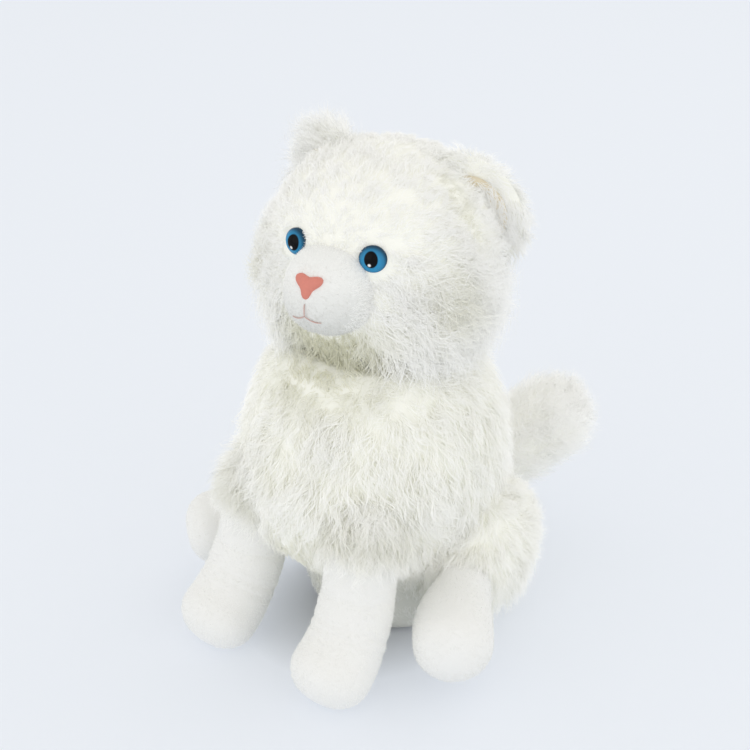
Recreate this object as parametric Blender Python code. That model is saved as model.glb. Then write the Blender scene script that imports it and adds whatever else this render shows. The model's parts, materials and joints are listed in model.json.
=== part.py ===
"""A sitting long-haired plush cat that turns its head, as separate pieces on real joints.

Metres, +Z up. The cat faces -Y, its left is +X and Z = 0 is the floor it sits on. The design
is laid out about the neck's turning axis, and one parent empty shifts all of it so that the
origin lies under the middle of the whole toy.
"""

import math

import bmesh
import bpy
from mathutils import Matrix, Vector

MM = 0.001

# Gaps between pieces
FIT = 0.3 * MM
RUN = 0.5 * MM
SOFT_RUN = 0.8 * MM
FLOOR_FLAT = 0.5 * MM

# Body
TORSO_HEIGHT = 176 * MM
TORSO_HALF_WIDTH = 72 * MM
TORSO_HALF_DEPTH = 82 * MM
# Share of the height, then half width, half depth and lean as shares of the widest
TORSO_SHAPE = [
    (0.00, 0.70, 0.71, 0.29),
    (0.06, 0.79, 0.77, 0.30),
    (0.20, 0.83, 0.84, 0.26),
    (0.40, 0.89, 1.00, 0.05),
    (0.58, 0.98, 0.97, -0.04),
    (0.70, 1.00, 0.92, -0.06),
    (0.82, 0.95, 0.83, -0.06),
    (0.92, 0.84, 0.72, -0.04),
    (1.00, 0.69, 0.59, 0.00),
]
TORSO_RINGS = [0, 0.02, 0.06, 0.12, 0.2, 0.3, 0.4, 0.5, 0.6, 0.7, 0.8, 0.88, 0.95, 1]

# Head
HEAD_TURN_AT_REST = math.radians(10)
HEAD_HEIGHT = 109 * MM
HEAD_HALF_WIDTH = 66 * MM
HEAD_HALF_DEPTH = 60 * MM
HEAD_SHAPE = [
    (0.00, 0.66, 0.68, 0.00),
    (0.09, 0.84, 0.87, 0.01),
    (0.25, 0.98, 0.98, 0.02),
    (0.45, 1.00, 1.00, 0.05),
    (0.65, 0.93, 0.95, 0.08),
    (0.82, 0.74, 0.77, 0.11),
    (0.94, 0.44, 0.46, 0.13),
    (1.00, 0.00, 0.00, 0.14),
]
HEAD_RINGS = [0, 0.04, 0.1, 0.18, 0.28, 0.4, 0.52, 0.63, 0.73, 0.82, 0.9, 0.96, 1]
MUZZLE_HALF_WIDTH = 26 * MM
MUZZLE_HALF_DEPTH = 30 * MM
MUZZLE_HALF_HEIGHT = 23 * MM
MUZZLE_HEIGHT = 44 * MM
MUZZLE_SINK = 10 * MM
EAR_HALF_WIDTH = 33 * MM
EAR_HALF_THICK = 10 * MM
EAR_HALF_HEIGHT = 24 * MM
EAR_OUT = 46 * MM
EAR_BACK = 22 * MM
EAR_DROP = 34 * MM
EAR_TILT = math.radians(55)
EAR_YAW = math.radians(24)
EAR_CUP_DEPTH = 9 * MM
EAR_LINING_THICK = 2 * MM

# Safety eyes and nose
EYE_RADIUS = 7.5 * MM
EYE_DOME = 5.5 * MM
EYE_BACK = 2.5 * MM
EYE_SPACING = 45 * MM
EYE_HEIGHT = 66 * MM
EYE_SPLAY = math.radians(18)
EYE_SINK = 4 * MM
NOSE_WIDTH = 17 * MM
NOSE_THICK = 4.5 * MM
NOSE_RISE = 12 * MM
NOSE_SINK = 2.5 * MM
NOSE_LIFT = math.radians(18)
STEM_RADIUS = 2.5 * MM
STEM_LENGTH = 17 * MM
WASHER_RADIUS = 6.5 * MM
WASHER_THICK = 1.6 * MM
WASHER_DEPTH = 11 * MM

# Front legs
SHOULDER_OUT = 37 * MM
SHOULDER_HEIGHT = 94 * MM
SHOULDER_SINK = 15 * MM
SHOULDER_RADIUS = 23 * MM
FRONT_LEG_LEAN = math.radians(15)
FRONT_LEG_SPLAY = math.radians(4)
FRONT_LEG_LIFT = math.radians(40)
SLEEVE_LENGTH = 44 * MM
SLEEVE_HEM_RADIUS = 22 * MM
FRONT_PAW_RADIUS = 19.5 * MM
FRONT_FOOT_HALF_WIDTH = 21.5 * MM
FRONT_FOOT_HALF_LENGTH = 26 * MM
FRONT_FOOT_HALF_HEIGHT = 19 * MM
FRONT_FOOT_FORWARD = 8 * MM

# Hind legs
HIP_HEIGHT = 44 * MM
HIP_BACK = 24 * MM
HIP_FACE = 50 * MM
HIP_BOSS_RADIUS = 28 * MM
HIP_BOSS_DEPTH = 6 * MM
THIGH_HALF_WIDTH = 27 * MM
THIGH_HALF_LENGTH = 48 * MM
THIGH_BELLY = 4 * MM
HIND_PAW_RADIUS = 22 * MM
HIND_PAW_OUT = 14 * MM
HIND_PAW_FORWARD = 12 * MM
HIND_PAW_HEIGHT = 37 * MM
HIND_PAW_REACH = 60 * MM
HIND_PAW_SPLAY = math.radians(38)
HIND_PAW_DROP = math.radians(5)
HIND_PAW_INSIDE = 63.6 * MM

# Tail
TAIL_HEIGHT = 46 * MM
TAIL_SINK = 10 * MM
TAIL_BASE_RADIUS = 22 * MM
TAIL_THICK_RADIUS = 24 * MM
TAIL_LENGTH = 75 * MM
TAIL_CURL = 24 * MM
TAIL_RISE = 26 * MM
TAIL_SWING = math.radians(20)
TAIL_ROOM = 12 * MM

# Motor box
CASE_WIDTH = 60 * MM
SWITCH_STRIP = 11 * MM
CASE_FRONT = -14.5 * MM
CASE_BOTTOM = 5 * MM
CASE_SPLIT = 42 * MM
GEAR_ROOM = 22 * MM
CASE_WALL = 2 * MM
CASE_CORNER = 6 * MM
LUG_REACH = 8 * MM
LUG_WIDTH = 9 * MM
LUG_SPREAD = 34 * MM
BASE_LUG_HEIGHT = 5 * MM
COVER_LUG_HEIGHT = 9 * MM
SCREW_RADIUS = 1.3 * MM
SCREW_HEAD_RADIUS = 2.6 * MM
SCREW_HEAD_THICK = 2 * MM
SCREW_BITE = 7 * MM

# Batteries and door
CELL_RADIUS = 7.25 * MM
CELL_LENGTH = 50.5 * MM
CELL_PITCH = 15 * MM
CELL_COUNT = 3
CELL_NIPPLE_RADIUS = 2.75 * MM
CELL_NIPPLE = 1 * MM
BAY_HEIGHT = 17 * MM
BAY_RIM = 3 * MM
CONTACT_THICK = 0.8 * MM
CONTACT_HEIGHT = 12 * MM
DOOR_THICK = 2 * MM
DOOR_INSET = 2 * MM
DOOR_WIDTH = 52 * MM
TONGUE_OUT = 18 * MM
TONGUE_WIDTH = 10 * MM
HOOK_WIDTH = 6 * MM
HOOK_REACH = 1.4 * MM
HOOK_THICK = 0.8 * MM
DOOR_SCREW_HEAD = 1.6 * MM
DOOR_SCREW_BITE = 4.5 * MM
SCREW_SWING = 0.8 * MM

# Electronics
BOARD_THICK = 1.6 * MM
BOARD_WIDTH = 48 * MM
BOARD_DEPTH = 44 * MM
BOARD_POST = 5 * MM
VOICE_CHIP_SIZE = 12 * MM
VOICE_CHIP_THICK = 1.6 * MM
VOICE_CHIP_OUT = 6 * MM
VOICE_CHIP_BACK = 4 * MM
MOTOR_CHIP_WIDTH = 7 * MM
MOTOR_CHIP_DEPTH = 5 * MM
MOTOR_CHIP_THICK = 1.8 * MM
MOTOR_CHIP_OUT = 12 * MM
MOTOR_CHIP_FRONT = 8 * MM
PLUG_WIDTH = 10 * MM
PLUG_SIZE = 5 * MM
PLUG_OUT = 15 * MM
PLUG_FRONT = 14 * MM
CAPACITOR_RADIUS = 2.5 * MM
CAPACITOR_HEIGHT = 6 * MM
CAPACITOR_OUT = 15 * MM
CAPACITOR_BACK = 12 * MM
CAPACITOR_PITCH = 9 * MM
SPEAKER_RADIUS = 16 * MM
SPEAKER_THICK = 8 * MM
SPEAKER_MAGNET_RADIUS = 9 * MM
SPEAKER_MAGNET = 6 * MM
SPEAKER_BELOW_DECK = 18 * MM
GRILLE_SLOT = 2.4 * MM
GRILLE_PITCH = 5.2 * MM
GRILLE_COUNT = 5
PURR_RADIUS = 6 * MM
PURR_LENGTH = 18 * MM
PURR_OUT = 20 * MM
PURR_FRONT = 10 * MM
PURR_HEIGHT = 54 * MM
PURR_WEIGHT_RADIUS = 7 * MM
PURR_WEIGHT_THICK = 5 * MM
PURR_SHAFT_RADIUS = 1 * MM
PURR_SHAFT_IN = 4 * MM
SWITCH_LENGTH = 14 * MM
SWITCH_HEIGHT = 6 * MM
SWITCH_TRAVEL = 4 * MM
SLIDER_LENGTH = 4 * MM
SLIDER_DEPTH = 2.4 * MM
SLIDER_STICKS_OUT = 2 * MM
SLIDER_PLATE = 1 * MM
SWITCH_ROOM = 26 * MM
BUTTON_RADIUS = 11 * MM
BUTTON_THICK = 3 * MM
BUTTON_STEM_RADIUS = 3.5 * MM
BUTTON_COLLAR_RADIUS = 5 * MM
BUTTON_COLLAR_THICK = 2 * MM
BUTTON_TRAVEL = 2.5 * MM
BUTTON_OUT = 15 * MM
BUTTON_BELOW_DECK = 16 * MM
TOUCH_SIZE = 15 * MM
TOUCH_THICK = 4 * MM

# Neck drive
GEAR_MODULE = 1 * MM
PINION_TEETH = 12
GEAR_TEETH = 36
SECTOR_TEETH = 13
GEAR_THICK = 6 * MM
GEAR_BACKLASH = 0.35 * MM
GEAR_PRESSURE = math.radians(20)
GEAR_ADDENDUM = 0.75
GEAR_DEDENDUM = 1.05
DECK_HEIGHT = 82 * MM
DECK_THICK = 2.5 * MM
DECK_POST_RADIUS = 3 * MM
DECK_POST_INSET = 5 * MM
SHAFT_TAIL = 5 * MM
CLIP_RADIUS = 8 * MM
CLIP_THICK = 1.6 * MM
NECK_SHAFT_RADIUS = 5 * MM
NECK_HUB_RADIUS = 9 * MM
BUSH_RADIUS = 7.5 * MM
BUSH_FLANGE_RADIUS = 10 * MM
BUSH_FLANGE = 2 * MM
MOTOR_WIDTH = 12 * MM
MOTOR_DEPTH = 10 * MM
MOTOR_LENGTH = 24 * MM
MOTOR_GEARBOX = 9 * MM
MOTOR_SHAFT_RADIUS = 1.5 * MM
MOTOR_SHAFT_IN = 6 * MM
PLATE_RADIUS = 30 * MM
PLATE_THICK = 3 * MM
PLATE_HEIGHT = 20 * MM
PLATE_HUB_DEPTH = 10 * MM
CASE_DEPTH = CELL_PITCH * CELL_COUNT + SWITCH_STRIP
CASE_TOP = DECK_HEIGHT + GEAR_ROOM
DOOR_LENGTH = CELL_PITCH * CELL_COUNT - DOOR_INSET
SPEAKER_HEIGHT = DECK_HEIGHT - SPEAKER_BELOW_DECK
BUTTON_HEIGHT = DECK_HEIGHT - BUTTON_BELOW_DECK

# Faces round each kind of round piece
BODY_SIDES = 28
LIMB_SIDES = 20
PART_SIDES = 16
SMALL_SIDES = 10

for leftover in list(bpy.data.objects):
    bpy.data.objects.remove(leftover)


def finish(name, colour, roughness, metallic=0.0):
    """A plain material in linear colour."""
    made = bpy.data.materials.new(name)
    made.use_nodes = True
    shader = made.node_tree.nodes["Principled BSDF"]
    shader.inputs["Base Color"].default_value = (*colour, 1)
    shader.inputs["Roughness"].default_value = roughness
    shader.inputs["Metallic"].default_value = metallic
    return made


FUR = finish("long_pile", (0.90, 0.89, 0.85), 0.95)
SHORT_PILE = finish("short_pile", (0.93, 0.92, 0.89), 0.9)
LINING = finish("ear_lining", (0.80, 0.66, 0.52), 0.9)
EYE_BLUE = finish("eye_blue", (0.03, 0.22, 0.55), 0.1)
NOSE_PINK = finish("nose_pink", (0.75, 0.22, 0.17), 0.4)
NYLON = finish("nylon", (0.85, 0.85, 0.82), 0.5)
CASE_ABS = finish("case_abs", (0.75, 0.76, 0.78), 0.45)
DARK_ABS = finish("dark_abs", (0.03, 0.03, 0.035), 0.5)
STEEL = finish("steel", (0.60, 0.61, 0.63), 0.3, 1.0)
COPPER = finish("nickel_strip", (0.70, 0.66, 0.58), 0.3, 1.0)
CELL_WRAP = finish("cell_wrap", (0.05, 0.05, 0.06), 0.35)
BOARD_GREEN = finish("board_green", (0.02, 0.18, 0.06), 0.45)
CONE_PAPER = finish("cone_paper", (0.04, 0.04, 0.04), 0.8)
ACETAL = finish("acetal", (0.88, 0.88, 0.86), 0.4)


def solid(name, rings, material, closed=False):
    """A skin over rings of points. A one-point ring is a pole, and a closed run joins its ends."""
    mesh = bmesh.new()
    rows = [[mesh.verts.new(point) for point in ring] for ring in rings]
    pairs = list(zip(rows, rows[1:]))
    if closed:
        pairs.append((rows[-1], rows[0]))
    for low, high in pairs:
        count = max(len(low), len(high))
        for i in range(count):
            j = (i + 1) % count
            if len(low) == 1:
                mesh.faces.new((low[0], high[i], high[j]))
            elif len(high) == 1:
                mesh.faces.new((low[i], high[0], low[j]))
            else:
                mesh.faces.new((low[i], high[i], high[j], low[j]))
    if not closed:
        for row in (rows[0], rows[-1]):
            if len(row) > 1:
                mesh.faces.new(row)
    bmesh.ops.recalc_face_normals(mesh, faces=mesh.faces)
    data = bpy.data.meshes.new(name)
    mesh.to_mesh(data)
    mesh.free()
    data.materials.append(material)
    made = bpy.data.objects.new(name, data)
    bpy.context.scene.collection.objects.link(made)
    return made


def ring(centre, side, up, half_width, half_height, sides):
    """Points round an ellipse, or the centre alone where it has no width."""
    if half_width < 1e-7:
        return [Vector(centre)]
    turns = [2 * math.pi * i / sides for i in range(sides)]
    return [
        Vector(centre) + side * (half_width * math.cos(a)) + up * (half_height * math.sin(a))
        for a in turns
    ]


def lathe(name, profile, place, material, sides=PART_SIDES, closed=False):
    """A turned piece from (radius, distance along the place's Z axis) pairs."""
    side, up, axis = (place.to_3x3().col[i].copy() for i in range(3))
    start = place.to_translation()
    rings = [ring(start + axis * z, side, up, r, r, sides) for r, z in profile]
    return solid(name, rings, material, closed)


def prism(name, outline, low, high, place, material):
    """An outline in the place's XY plane, carried along its Z axis."""
    rings = [[place @ Vector((x, y, z)) for x, y in outline] for z in (low, high)]
    return solid(name, rings, material)


def block(name, low, high, material):
    """A box between two corners."""
    outline = [(low[0], low[1]), (high[0], low[1]), (high[0], high[1]), (low[0], high[1])]
    return prism(name, outline, low[2], high[2], Matrix(), material)


def ellipsoid(name, place, half_sizes, material, sides=LIMB_SIDES, rings=10):
    """An ellipsoid standing on its poles along the place's Z axis."""
    wide, deep, tall = half_sizes
    rows = []
    for i in range(rings + 1):
        angle = math.pi * (i / rings - 0.5)
        r = math.cos(angle) if 0 < i < rings else 0
        height = (0, 0, tall * math.sin(angle))
        flat = ring(height, Vector((1, 0, 0)), Vector((0, 1, 0)), wide * r, deep * r, sides)
        rows.append([place @ point for point in flat])
    return solid(name, rows, material)


def smooth(rows, at):
    """The values at a place along the rows, on cubics that pass through every row."""
    last = len(rows) - 1
    i = max(0, min(last - 1, sum(row[0] <= at for row in rows) - 1))
    before, low, high, after = rows[max(i - 1, 0)], rows[i], rows[i + 1], rows[min(i + 2, last)]
    span = high[0] - low[0]
    f = (at - low[0]) / span
    found = []
    for a, b, c, d in zip(before[1:], low[1:], high[1:], after[1:]):
        leave = (c - a) / (high[0] - before[0]) * span
        reach = (d - b) / (after[0] - low[0]) * span
        found.append(
            (2 * f**3 - 3 * f**2 + 1) * b
            + (f**3 - 2 * f**2 + f) * leave
            + (3 * f**2 - 2 * f**3) * c
            + (f**3 - f**2) * reach
        )
    return found


def helper(piece):
    piece.hide_render = True
    piece.display_type = "WIRE"
    return piece


def combine(piece, other, operation):
    helper(other)
    made = piece.modifiers.new(other.name, "BOOLEAN")
    made.operation = operation
    made.solver = "EXACT"
    made.object = other


def carve(piece, *cutters):
    for cutter in cutters:
        combine(piece, cutter, "DIFFERENCE")


def weld(piece, *others):
    for other in others:
        combine(piece, other, "UNION")


def empty(name, parent=None, at=(0, 0, 0), turn=0.0):
    """A joint's frame, at a point of the design."""
    made = bpy.data.objects.new(name, None)
    bpy.context.scene.collection.objects.link(made)
    made.parent = parent
    made.location = at
    made.rotation_euler = (0, 0, turn)
    return made


def hang(pivot, *pieces):
    """Parents pieces to a joint's frame, keeping them where they were modelled before its turn."""
    start = Vector(pivot.location) if pivot.parent else Vector()
    for piece in pieces:
        piece.data.transform(Matrix.Translation(-start))
        piece.parent = pivot


def face_along(centre, direction, up=Vector((0, 0, 1))):
    """A place whose Z axis points along a direction and whose Y axis leans to up."""
    z = Vector(direction).normalized()
    x = up.cross(z).normalized()
    y = z.cross(x)
    turned = Matrix((x, y, z)).transposed().to_4x4()
    return Matrix.Translation(centre) @ turned


X_AXIS = Vector((1, 0, 0))
Y_AXIS = Vector((0, 1, 0))
Z_AXIS = Vector((0, 0, 1))


# Body shapes shared by a piece and whatever is cut to fit it


def torso_at(height):
    wide, deep, lean = smooth(TORSO_SHAPE, height / TORSO_HEIGHT)
    return wide * TORSO_HALF_WIDTH, deep * TORSO_HALF_DEPTH, lean * TORSO_HALF_DEPTH


def torso_y(out, height, side):
    """Where the body's front (-1) or back (+1) lies at a distance out from its middle."""
    wide, deep, lean = torso_at(height)
    return lean + side * deep * math.sqrt(max(0, 1 - (out / wide) ** 2))


HEAD_BOTTOM = TORSO_HEIGHT + RUN


def head_at(height):
    wide, deep, lean = smooth(HEAD_SHAPE, (height - HEAD_BOTTOM) / HEAD_HEIGHT)
    return wide * HEAD_HALF_WIDTH, deep * HEAD_HALF_DEPTH, lean * HEAD_HALF_DEPTH


def head_front(out, height):
    wide, deep, lean = head_at(height)
    return lean - deep * math.sqrt(max(0, 1 - (out / wide) ** 2))


def head_form(name, grown):
    rows = []
    for share in HEAD_RINGS:
        height = HEAD_BOTTOM + share * HEAD_HEIGHT
        wide, deep, lean = head_at(height)
        if share == 1:
            rows.append([Vector((0, lean, height + grown))])
        else:
            rows.append(ring((0, lean, height), X_AXIS, Y_AXIS, wide + grown, deep + grown, BODY_SIDES))
    return solid(name, rows, FUR)


TAIL_ROOT = torso_y(0, TAIL_HEIGHT, 1) - TAIL_SINK
SHOULDER_FRONT = torso_y(SHOULDER_OUT, SHOULDER_HEIGHT, -1) + SHOULDER_SINK
LEG_DROP = SHOULDER_HEIGHT - FRONT_FOOT_HALF_HEIGHT
FRONT_FOOT_Y = SHOULDER_FRONT - LEG_DROP * math.tan(FRONT_LEG_LEAN) - FRONT_FOOT_FORWARD
TAIL_END = TAIL_ROOT + TAIL_LENGTH
TOY_FRONT = FRONT_FOOT_Y - FRONT_FOOT_HALF_LENGTH
ORIGIN_SHIFT = -(TOY_FRONT + TAIL_END) / 2

root = empty("plush_cat", None, (0, ORIGIN_SHIFT, 0))
neck = empty("neck_axis", root, (0, 0, HEAD_BOTTOM), HEAD_TURN_AT_REST)


# Body: one stuffed form with a flat seat, its box pocket open underneath


def torso_ring(share):
    wide, deep, lean = torso_at(share * TORSO_HEIGHT)
    return ring((0, lean, share * TORSO_HEIGHT), X_AXIS, Y_AXIS, wide, deep, BODY_SIDES)


torso = solid("torso", [torso_ring(share) for share in TORSO_RINGS], FUR)
CASE_BACK = CASE_FRONT + CASE_DEPTH
CASE_MIDDLE = (CASE_FRONT + CASE_BACK) / 2
CASE_HALF = CASE_WIDTH / 2
case_pocket = block(
    "case_pocket",
    (-CASE_HALF - SOFT_RUN, CASE_FRONT - SOFT_RUN, -0.01),
    (CASE_HALF + SOFT_RUN, CASE_BACK + SOFT_RUN, CASE_TOP + SOFT_RUN),
    FUR,
)
LUG_LOW = CASE_SPLIT - BASE_LUG_HEIGHT
LUG_HIGH = CASE_SPLIT + COVER_LUG_HEIGHT
lug_pocket = block(
    "lug_pocket",
    (
        -CASE_HALF - LUG_REACH - SOFT_RUN,
        CASE_MIDDLE - LUG_SPREAD / 2 - LUG_WIDTH / 2 - SOFT_RUN,
        LUG_LOW - SCREW_HEAD_THICK - 2 * SOFT_RUN,
    ),
    (
        CASE_HALF + LUG_REACH + SOFT_RUN,
        CASE_MIDDLE + LUG_SPREAD / 2 + LUG_WIDTH / 2 + SOFT_RUN,
        LUG_HIGH + SOFT_RUN,
    ),
    FUR,
)
neck_bore = lathe(
    "neck_bore",
    [
        (0, CASE_TOP - FIT),
        (BUSH_FLANGE_RADIUS + SOFT_RUN, CASE_TOP - FIT),
        (BUSH_FLANGE_RADIUS + SOFT_RUN, CASE_TOP + BUSH_FLANGE + SOFT_RUN),
        (NECK_SHAFT_RADIUS + 2 * SOFT_RUN, CASE_TOP + BUSH_FLANGE + 4 * SOFT_RUN),
        (NECK_SHAFT_RADIUS + 2 * SOFT_RUN, TORSO_HEIGHT + 0.01),
        (0, TORSO_HEIGHT + 0.01),
    ],
    Matrix(),
    FUR,
)
BUTTON_PLACE = face_along((BUTTON_OUT, CASE_BACK, BUTTON_HEIGHT), Y_AXIS)
BUTTON_CAP_LOW = BUTTON_TRAVEL + RUN
BUTTON_CAP_HIGH = BUTTON_CAP_LOW + BUTTON_THICK
button_pocket = lathe(
    "button_pocket",
    [
        (0, -FIT),
        (BUTTON_RADIUS + SOFT_RUN, -FIT),
        (BUTTON_RADIUS + SOFT_RUN, BUTTON_CAP_HIGH + SOFT_RUN),
        (0, BUTTON_CAP_HIGH + SOFT_RUN),
    ],
    BUTTON_PLACE,
    FUR,
)
hang(root, torso, case_pocket, lug_pocket, neck_bore, button_pocket)
carve(torso, case_pocket, lug_pocket, neck_bore, button_pocket)


# Head: a stuffed form on the neck plane, with its face, ears, eyes and nose

head = head_form("head", 0.0)
PLATE_LOW = HEAD_BOTTOM + PLATE_HEIGHT
PLATE_TOP = PLATE_LOW + PLATE_THICK
HUB_LOW = PLATE_LOW - PLATE_HUB_DEPTH
plate_pocket = lathe(
    "plate_pocket",
    [
        (0, HEAD_BOTTOM - 0.01),
        (NECK_HUB_RADIUS + SOFT_RUN, HEAD_BOTTOM - 0.01),
        (NECK_HUB_RADIUS + SOFT_RUN, PLATE_LOW - RUN),
        (PLATE_RADIUS + SOFT_RUN, PLATE_LOW - RUN),
        (PLATE_RADIUS + SOFT_RUN, PLATE_TOP + RUN),
        (0, PLATE_TOP + RUN),
    ],
    Matrix(),
    FUR,
)
MUZZLE_Z = HEAD_BOTTOM + MUZZLE_HEIGHT
MUZZLE_Y = head_front(0, MUZZLE_Z) + MUZZLE_SINK
MUZZLE_SIZES = (MUZZLE_HALF_WIDTH, MUZZLE_HALF_DEPTH, MUZZLE_HALF_HEIGHT)
MUZZLE_PLACE = Matrix.Translation((0, MUZZLE_Y, MUZZLE_Z))
muzzle = ellipsoid("muzzle", MUZZLE_PLACE, MUZZLE_SIZES, SHORT_PILE)
head_for_muzzle = head_form("head_for_muzzle", FIT)
carve(head, plate_pocket)
carve(muzzle, head_for_muzzle)
hang(neck, head, plate_pocket, muzzle, head_for_muzzle)


def stem_bore(name, place, stem_back):
    """The room a stem and its washer take behind a plastic face piece."""
    washer_low = stem_back - WASHER_DEPTH
    return lathe(
        name,
        [
            (0, stem_back - STEM_LENGTH - RUN),
            (STEM_RADIUS + FIT, stem_back - STEM_LENGTH - RUN),
            (STEM_RADIUS + FIT, washer_low - WASHER_THICK - FIT),
            (WASHER_RADIUS + FIT, washer_low - WASHER_THICK - FIT),
            (WASHER_RADIUS + FIT, washer_low + FIT),
            (STEM_RADIUS + FIT, washer_low + FIT),
            (STEM_RADIUS + FIT, stem_back + RUN),
            (0, stem_back + RUN),
        ],
        place,
        FUR,
        SMALL_SIDES,
    )


def stem_washer(name, place, stem_back):
    washer_low = stem_back - WASHER_DEPTH
    hole = STEM_RADIUS + FIT
    profile = [
        (hole, washer_low - WASHER_THICK),
        (WASHER_RADIUS, washer_low - WASHER_THICK),
        (WASHER_RADIUS, washer_low),
        (hole, washer_low),
    ]
    return lathe(name, profile, place, NYLON, SMALL_SIDES, True)


for name, side in (("left", 1), ("right", -1)):
    eye_z = HEAD_BOTTOM + EYE_HEIGHT
    eye_x = side * EYE_SPACING / 2
    eye_y = head_front(abs(eye_x), eye_z) + EYE_SINK
    looks = Vector((side * math.sin(EYE_SPLAY), -math.cos(EYE_SPLAY), 0))
    place = face_along((eye_x, eye_y, eye_z), looks)
    dome = [(math.cos(a) * EYE_RADIUS, math.sin(a) * EYE_DOME) for a in (0, 0.35, 0.7, 1.05, 1.3)]
    eye = lathe(
        f"eye_{name}",
        [
            (0, -EYE_BACK - STEM_LENGTH),
            (STEM_RADIUS, -EYE_BACK - STEM_LENGTH),
            (STEM_RADIUS, -EYE_BACK),
            (EYE_RADIUS * 0.9, -EYE_BACK),
            *dome,
            (0, EYE_DOME),
        ],
        place,
        EYE_BLUE,
    )
    socket = lathe(
        f"eye_socket_{name}",
        [
            (0, -EYE_BACK - FIT),
            (EYE_RADIUS + FIT, -EYE_BACK - FIT),
            (EYE_RADIUS + FIT, EYE_DOME + 0.02),
            (0, EYE_DOME + 0.02),
        ],
        place,
        FUR,
    )
    bore = stem_bore(f"eye_bore_{name}", place, -EYE_BACK)
    washer = stem_washer(f"eye_washer_{name}", place, -EYE_BACK)
    carve(head, socket, bore)
    carve(muzzle, socket)
    hang(neck, eye, socket, bore, washer)


def nose_outline(grown):
    """A soft triangle: two upper lobes and one lower corner on a round middle."""
    half = NOSE_WIDTH / 2
    lobes = ((math.radians(30), 0.5), (math.radians(150), 0.5), (math.radians(270), 0.38))
    points = []
    for i in range(30):
        turn = 2 * math.pi * i / 30
        reach = 0.5
        for middle, rise in lobes:
            off = math.remainder(turn - middle, 2 * math.pi)
            reach += rise * math.exp(-((off / 0.55) ** 2))
        points.append(((half * reach + grown) * math.cos(turn), (half * reach + grown) * math.sin(turn)))
    return points


NOSE_Z = MUZZLE_Z + NOSE_RISE
NOSE_DEEP = math.sqrt(1 - (NOSE_RISE / MUZZLE_HALF_HEIGHT) ** 2)
NOSE_Y = MUZZLE_Y - MUZZLE_HALF_DEPTH * NOSE_DEEP + NOSE_SINK
nose_looks = Vector((0, -math.cos(NOSE_LIFT), math.sin(NOSE_LIFT)))
nose_place = face_along((0, NOSE_Y, NOSE_Z), nose_looks)
nose_layers = [(0.0, 0.0), (0.0, 0.6), (-1.2 * MM, 0.9), (-3 * MM, 1.0)]
nose_rings = [
    [nose_place @ Vector((x, y, NOSE_THICK * rise)) for x, y in nose_outline(grown)]
    for grown, rise in nose_layers
]
nose = solid("nose", nose_rings, NOSE_PINK)
nose_stem = lathe(
    "nose_stem",
    [(0, -STEM_LENGTH), (STEM_RADIUS, -STEM_LENGTH), (STEM_RADIUS, NOSE_THICK / 2), (0, NOSE_THICK / 2)],
    nose_place,
    NOSE_PINK,
    SMALL_SIDES,
)
nose_socket = prism("nose_socket", nose_outline(FIT), -FIT, 0.02, nose_place, FUR)
nose_bore = stem_bore("nose_bore", nose_place, 0.0)
nose_washer = stem_washer("nose_washer", nose_place, 0.0)
weld(nose, nose_stem)
carve(muzzle, nose_socket, nose_bore)
carve(head, nose_socket, nose_bore)
hang(neck, nose, nose_stem, nose_socket, nose_bore, nose_washer)


# Ears: a fur flap cut to the head, with a tan lining in its cup

for name, side in (("left", 1), ("right", -1)):
    tilt = Matrix.Rotation(side * EAR_TILT, 4, "Y")
    yaw = Matrix.Rotation(side * EAR_YAW, 4, "Z")
    middle = Matrix.Translation((side * EAR_OUT, EAR_BACK, HEAD_BOTTOM + HEAD_HEIGHT - EAR_DROP))
    place = middle @ yaw @ tilt
    ear = ellipsoid(f"ear_{name}", place, (EAR_HALF_WIDTH, EAR_HALF_THICK, EAR_HALF_HEIGHT), FUR, 20, 8)
    cup_sizes = (EAR_HALF_WIDTH * 0.72, EAR_CUP_DEPTH, EAR_HALF_HEIGHT * 0.74)
    cup_place = place @ Matrix.Translation((0, -EAR_HALF_THICK, 0))
    cup = ellipsoid(f"ear_cup_{name}", cup_place, cup_sizes, FUR, 22, 9)
    facing = cup_place @ Matrix.Rotation(-math.pi / 2, 4, "X")
    rows = []
    for inset, angles in ((RUN + FIT, (0, 20, 40, 60)), (RUN + FIT + EAR_LINING_THICK, (60, 40, 20, 0))):
        for angle in angles:
            a = math.radians(angle)
            wide = (cup_sizes[0] - inset) * math.sin(a)
            tall = (cup_sizes[2] - inset) * math.sin(a)
            deep = (cup_sizes[1] - inset) * math.cos(a)
            flat = ring((0, 0, deep), X_AXIS, Y_AXIS, wide, tall, 20)
            rows.append([facing @ point for point in flat])
    lining = solid(f"ear_lining_{name}", rows, LINING)
    head_for_ear = head_form(f"head_for_ear_{name}", FIT)
    head_for_lining = head_form(f"head_for_lining_{name}", FIT)
    carve(ear, cup, head_for_ear)
    carve(lining, head_for_lining)
    hang(neck, ear, cup, lining, head_for_ear, head_for_lining)


def floor_cut(name):
    return block(name, (-0.4, -0.4, -0.1), (0.4, 0.4, 0), FUR)


# Front legs: a fur sleeve whose round top turns in the chest, and a short-pile paw

LEG_LENGTH = LEG_DROP / math.cos(FRONT_LEG_LEAN) / math.cos(FRONT_LEG_SPLAY)

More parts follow.
